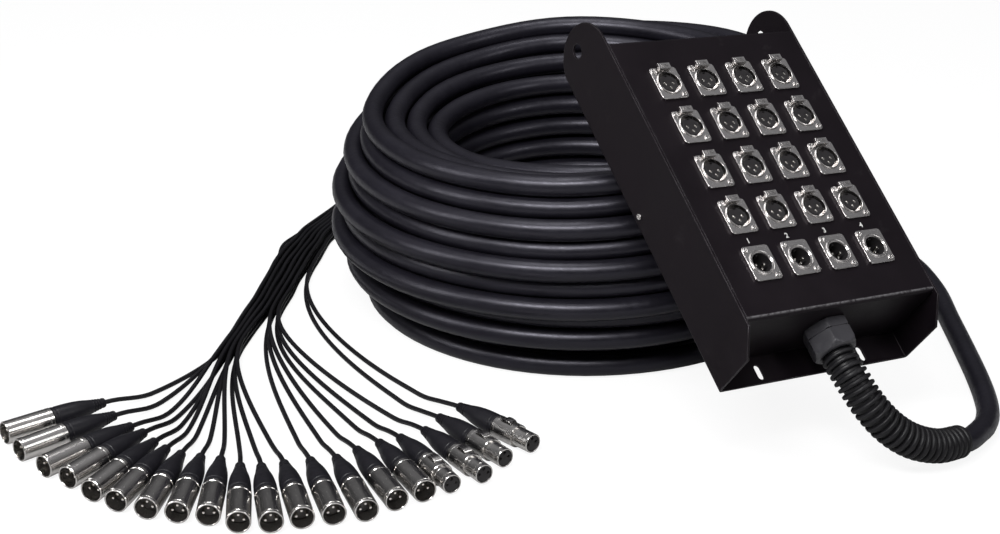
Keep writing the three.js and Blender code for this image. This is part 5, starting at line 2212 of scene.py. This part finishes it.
@dataclass
class Studio:
    """Camera, lamps, sky and ground."""

    paints: Paintbox
    camera_place: Triple = (-0.077, -1.56445, 0.733)
    tilt_deg: float = 22.0
    lens: float = 72.0
    sensor: float = 36.0
    ground_width: float = 12.0
    ground_drop: float = 0.0004
    sky_levels: tuple[Pair, ...] = ((0.0, 0.02), (1.0, 0.42), (0.3, 0.05), (0.6, 0.14), (0.8, 0.28))
    lamps: tuple[Lamp, ...] = (
        Lamp("front", (-0.55, -1.35, 1.75), (-0.1, 0.1, 0.1), (1.3, 0.42), 44),
        Lamp("overhead", (-0.2, 0.2, 2.2), (-0.05, 0.1, 0.1), (1.4, 0.5), 13),
        Lamp("left", (-1.9, -0.5, 1.2), (0.0, 0.1, 0.1), (0.5, 1.1), 12),
        Lamp("right", (1.7, -1.0, 1.5), (0.1, 0.0, 0.15), (0.6, 0.8), 7),
    )

    def camera(self) -> None:
        """Camera at the photograph's viewing angle."""
        data = bpy.data.cameras.new("view")
        data.lens = self.lens
        data.sensor_width = self.sensor
        data.clip_start = 0.01
        made = new_object("view", data)
        made.location = self.camera_place
        made.rotation_euler = (math.radians(90 - self.tilt_deg), 0, 0)
        bpy.context.scene.camera = made

    def hang(self, lamp: Lamp) -> None:
        """Hangs a lamp and aims it.

        Args:
            lamp: The lamp.
        """
        data = bpy.data.lights.new(lamp.name, "AREA")
        data.shape = "RECTANGLE"
        data.size, data.size_y = lamp.size
        data.energy = lamp.power
        made = new_object(lamp.name, data)
        made.location = lamp.place
        made.rotation_euler = (Vector(lamp.target) - Vector(lamp.place)).to_track_quat("-Z", "Y").to_euler()

    def sky(self) -> None:
        """Sky that is white to the camera, and for the rest bright overhead and dark along the horizon."""
        world = bpy.data.worlds.new("studio")
        bpy.context.scene.world = world
        world.use_nodes = True
        tree = world.node_tree
        add, link = tree.nodes.new, tree.links.new
        dome = tree.nodes["Background"]
        place = add("ShaderNodeTexCoord")
        parts = add("ShaderNodeSeparateXYZ")
        ramp = add("ShaderNodeValToRGB")
        for number, (height, level) in enumerate(self.sky_levels):
            stop = ramp.color_ramp.elements[number] if number < 2 else ramp.color_ramp.elements.new(height)
            stop.position = height
            stop.color = (level, level, level * 1.04, 1)
        seen = add("ShaderNodeLightPath")
        white = add("ShaderNodeBackground")
        blend = add("ShaderNodeMixShader")
        link(place.outputs["Generated"], parts.inputs["Vector"])
        link(parts.outputs["Z"], ramp.inputs["Fac"])
        link(ramp.outputs["Color"], dome.inputs["Color"])
        link(seen.outputs["Is Camera Ray"], blend.inputs["Fac"])
        link(dome.outputs["Background"], blend.inputs[1])
        link(white.outputs["Background"], blend.inputs[2])
        link(blend.outputs["Shader"], tree.nodes["World Output"].inputs["Surface"])

    def ground(self) -> None:
        """Pale floor."""
        half = self.ground_width / 2
        corners = [(-half, -half, 0), (half, -half, 0), (half, half, 0), (-half, half, 0)]
        mesh = mesh_from("ground", corners, [(0, 1, 2, 3)], SHEET_SHARP_DEG)
        made = new_object("ground", mesh)
        made.location.z = -self.ground_drop
        mesh.materials.append(self.paints.ground)

    def build(self) -> None:
        """Everything but the object."""
        self.camera()
        self.sky()
        self.ground()
        for lamp in self.lamps:
            self.hang(lamp)
        bpy.context.scene.view_settings.view_transform = "Standard"


def main() -> None:
    """Builds the studio and the object, and logs the names of the breakout, the cable, the tails and the
    pieces of the box, the gland and the sockets.
    """
    logging.basicConfig(level=logging.INFO, format="%(message)s")
    paints = Paintbox()
    Studio(paints).build()
    log.info("studio ready")

    pose = BoxPose().matrix()
    box = SteelBox(pose, paints)
    gland = CableGland(box)
    bundle = TailBundle(paints)
    breakout = bundle.breakout()
    log.info("breakout sleeve: %s", breakout.name)
    cable = Multicore(gland, paints, CoilWinding(pose)).build(breakout)
    log.info("cable: %s, %d faces", cable.name, len(cable.data.polygons))
    plugs = LinePlugs(paints, bundle).build()
    for tail in bundle.tails(plugs):
        log.info("tail: %s", tail.name)
    for piece in [*box.build(), *gland.build(), *SocketField(box).build()]:
        log.info("piece: %s", piece.name)


if __name__ == "__main__":
    main()
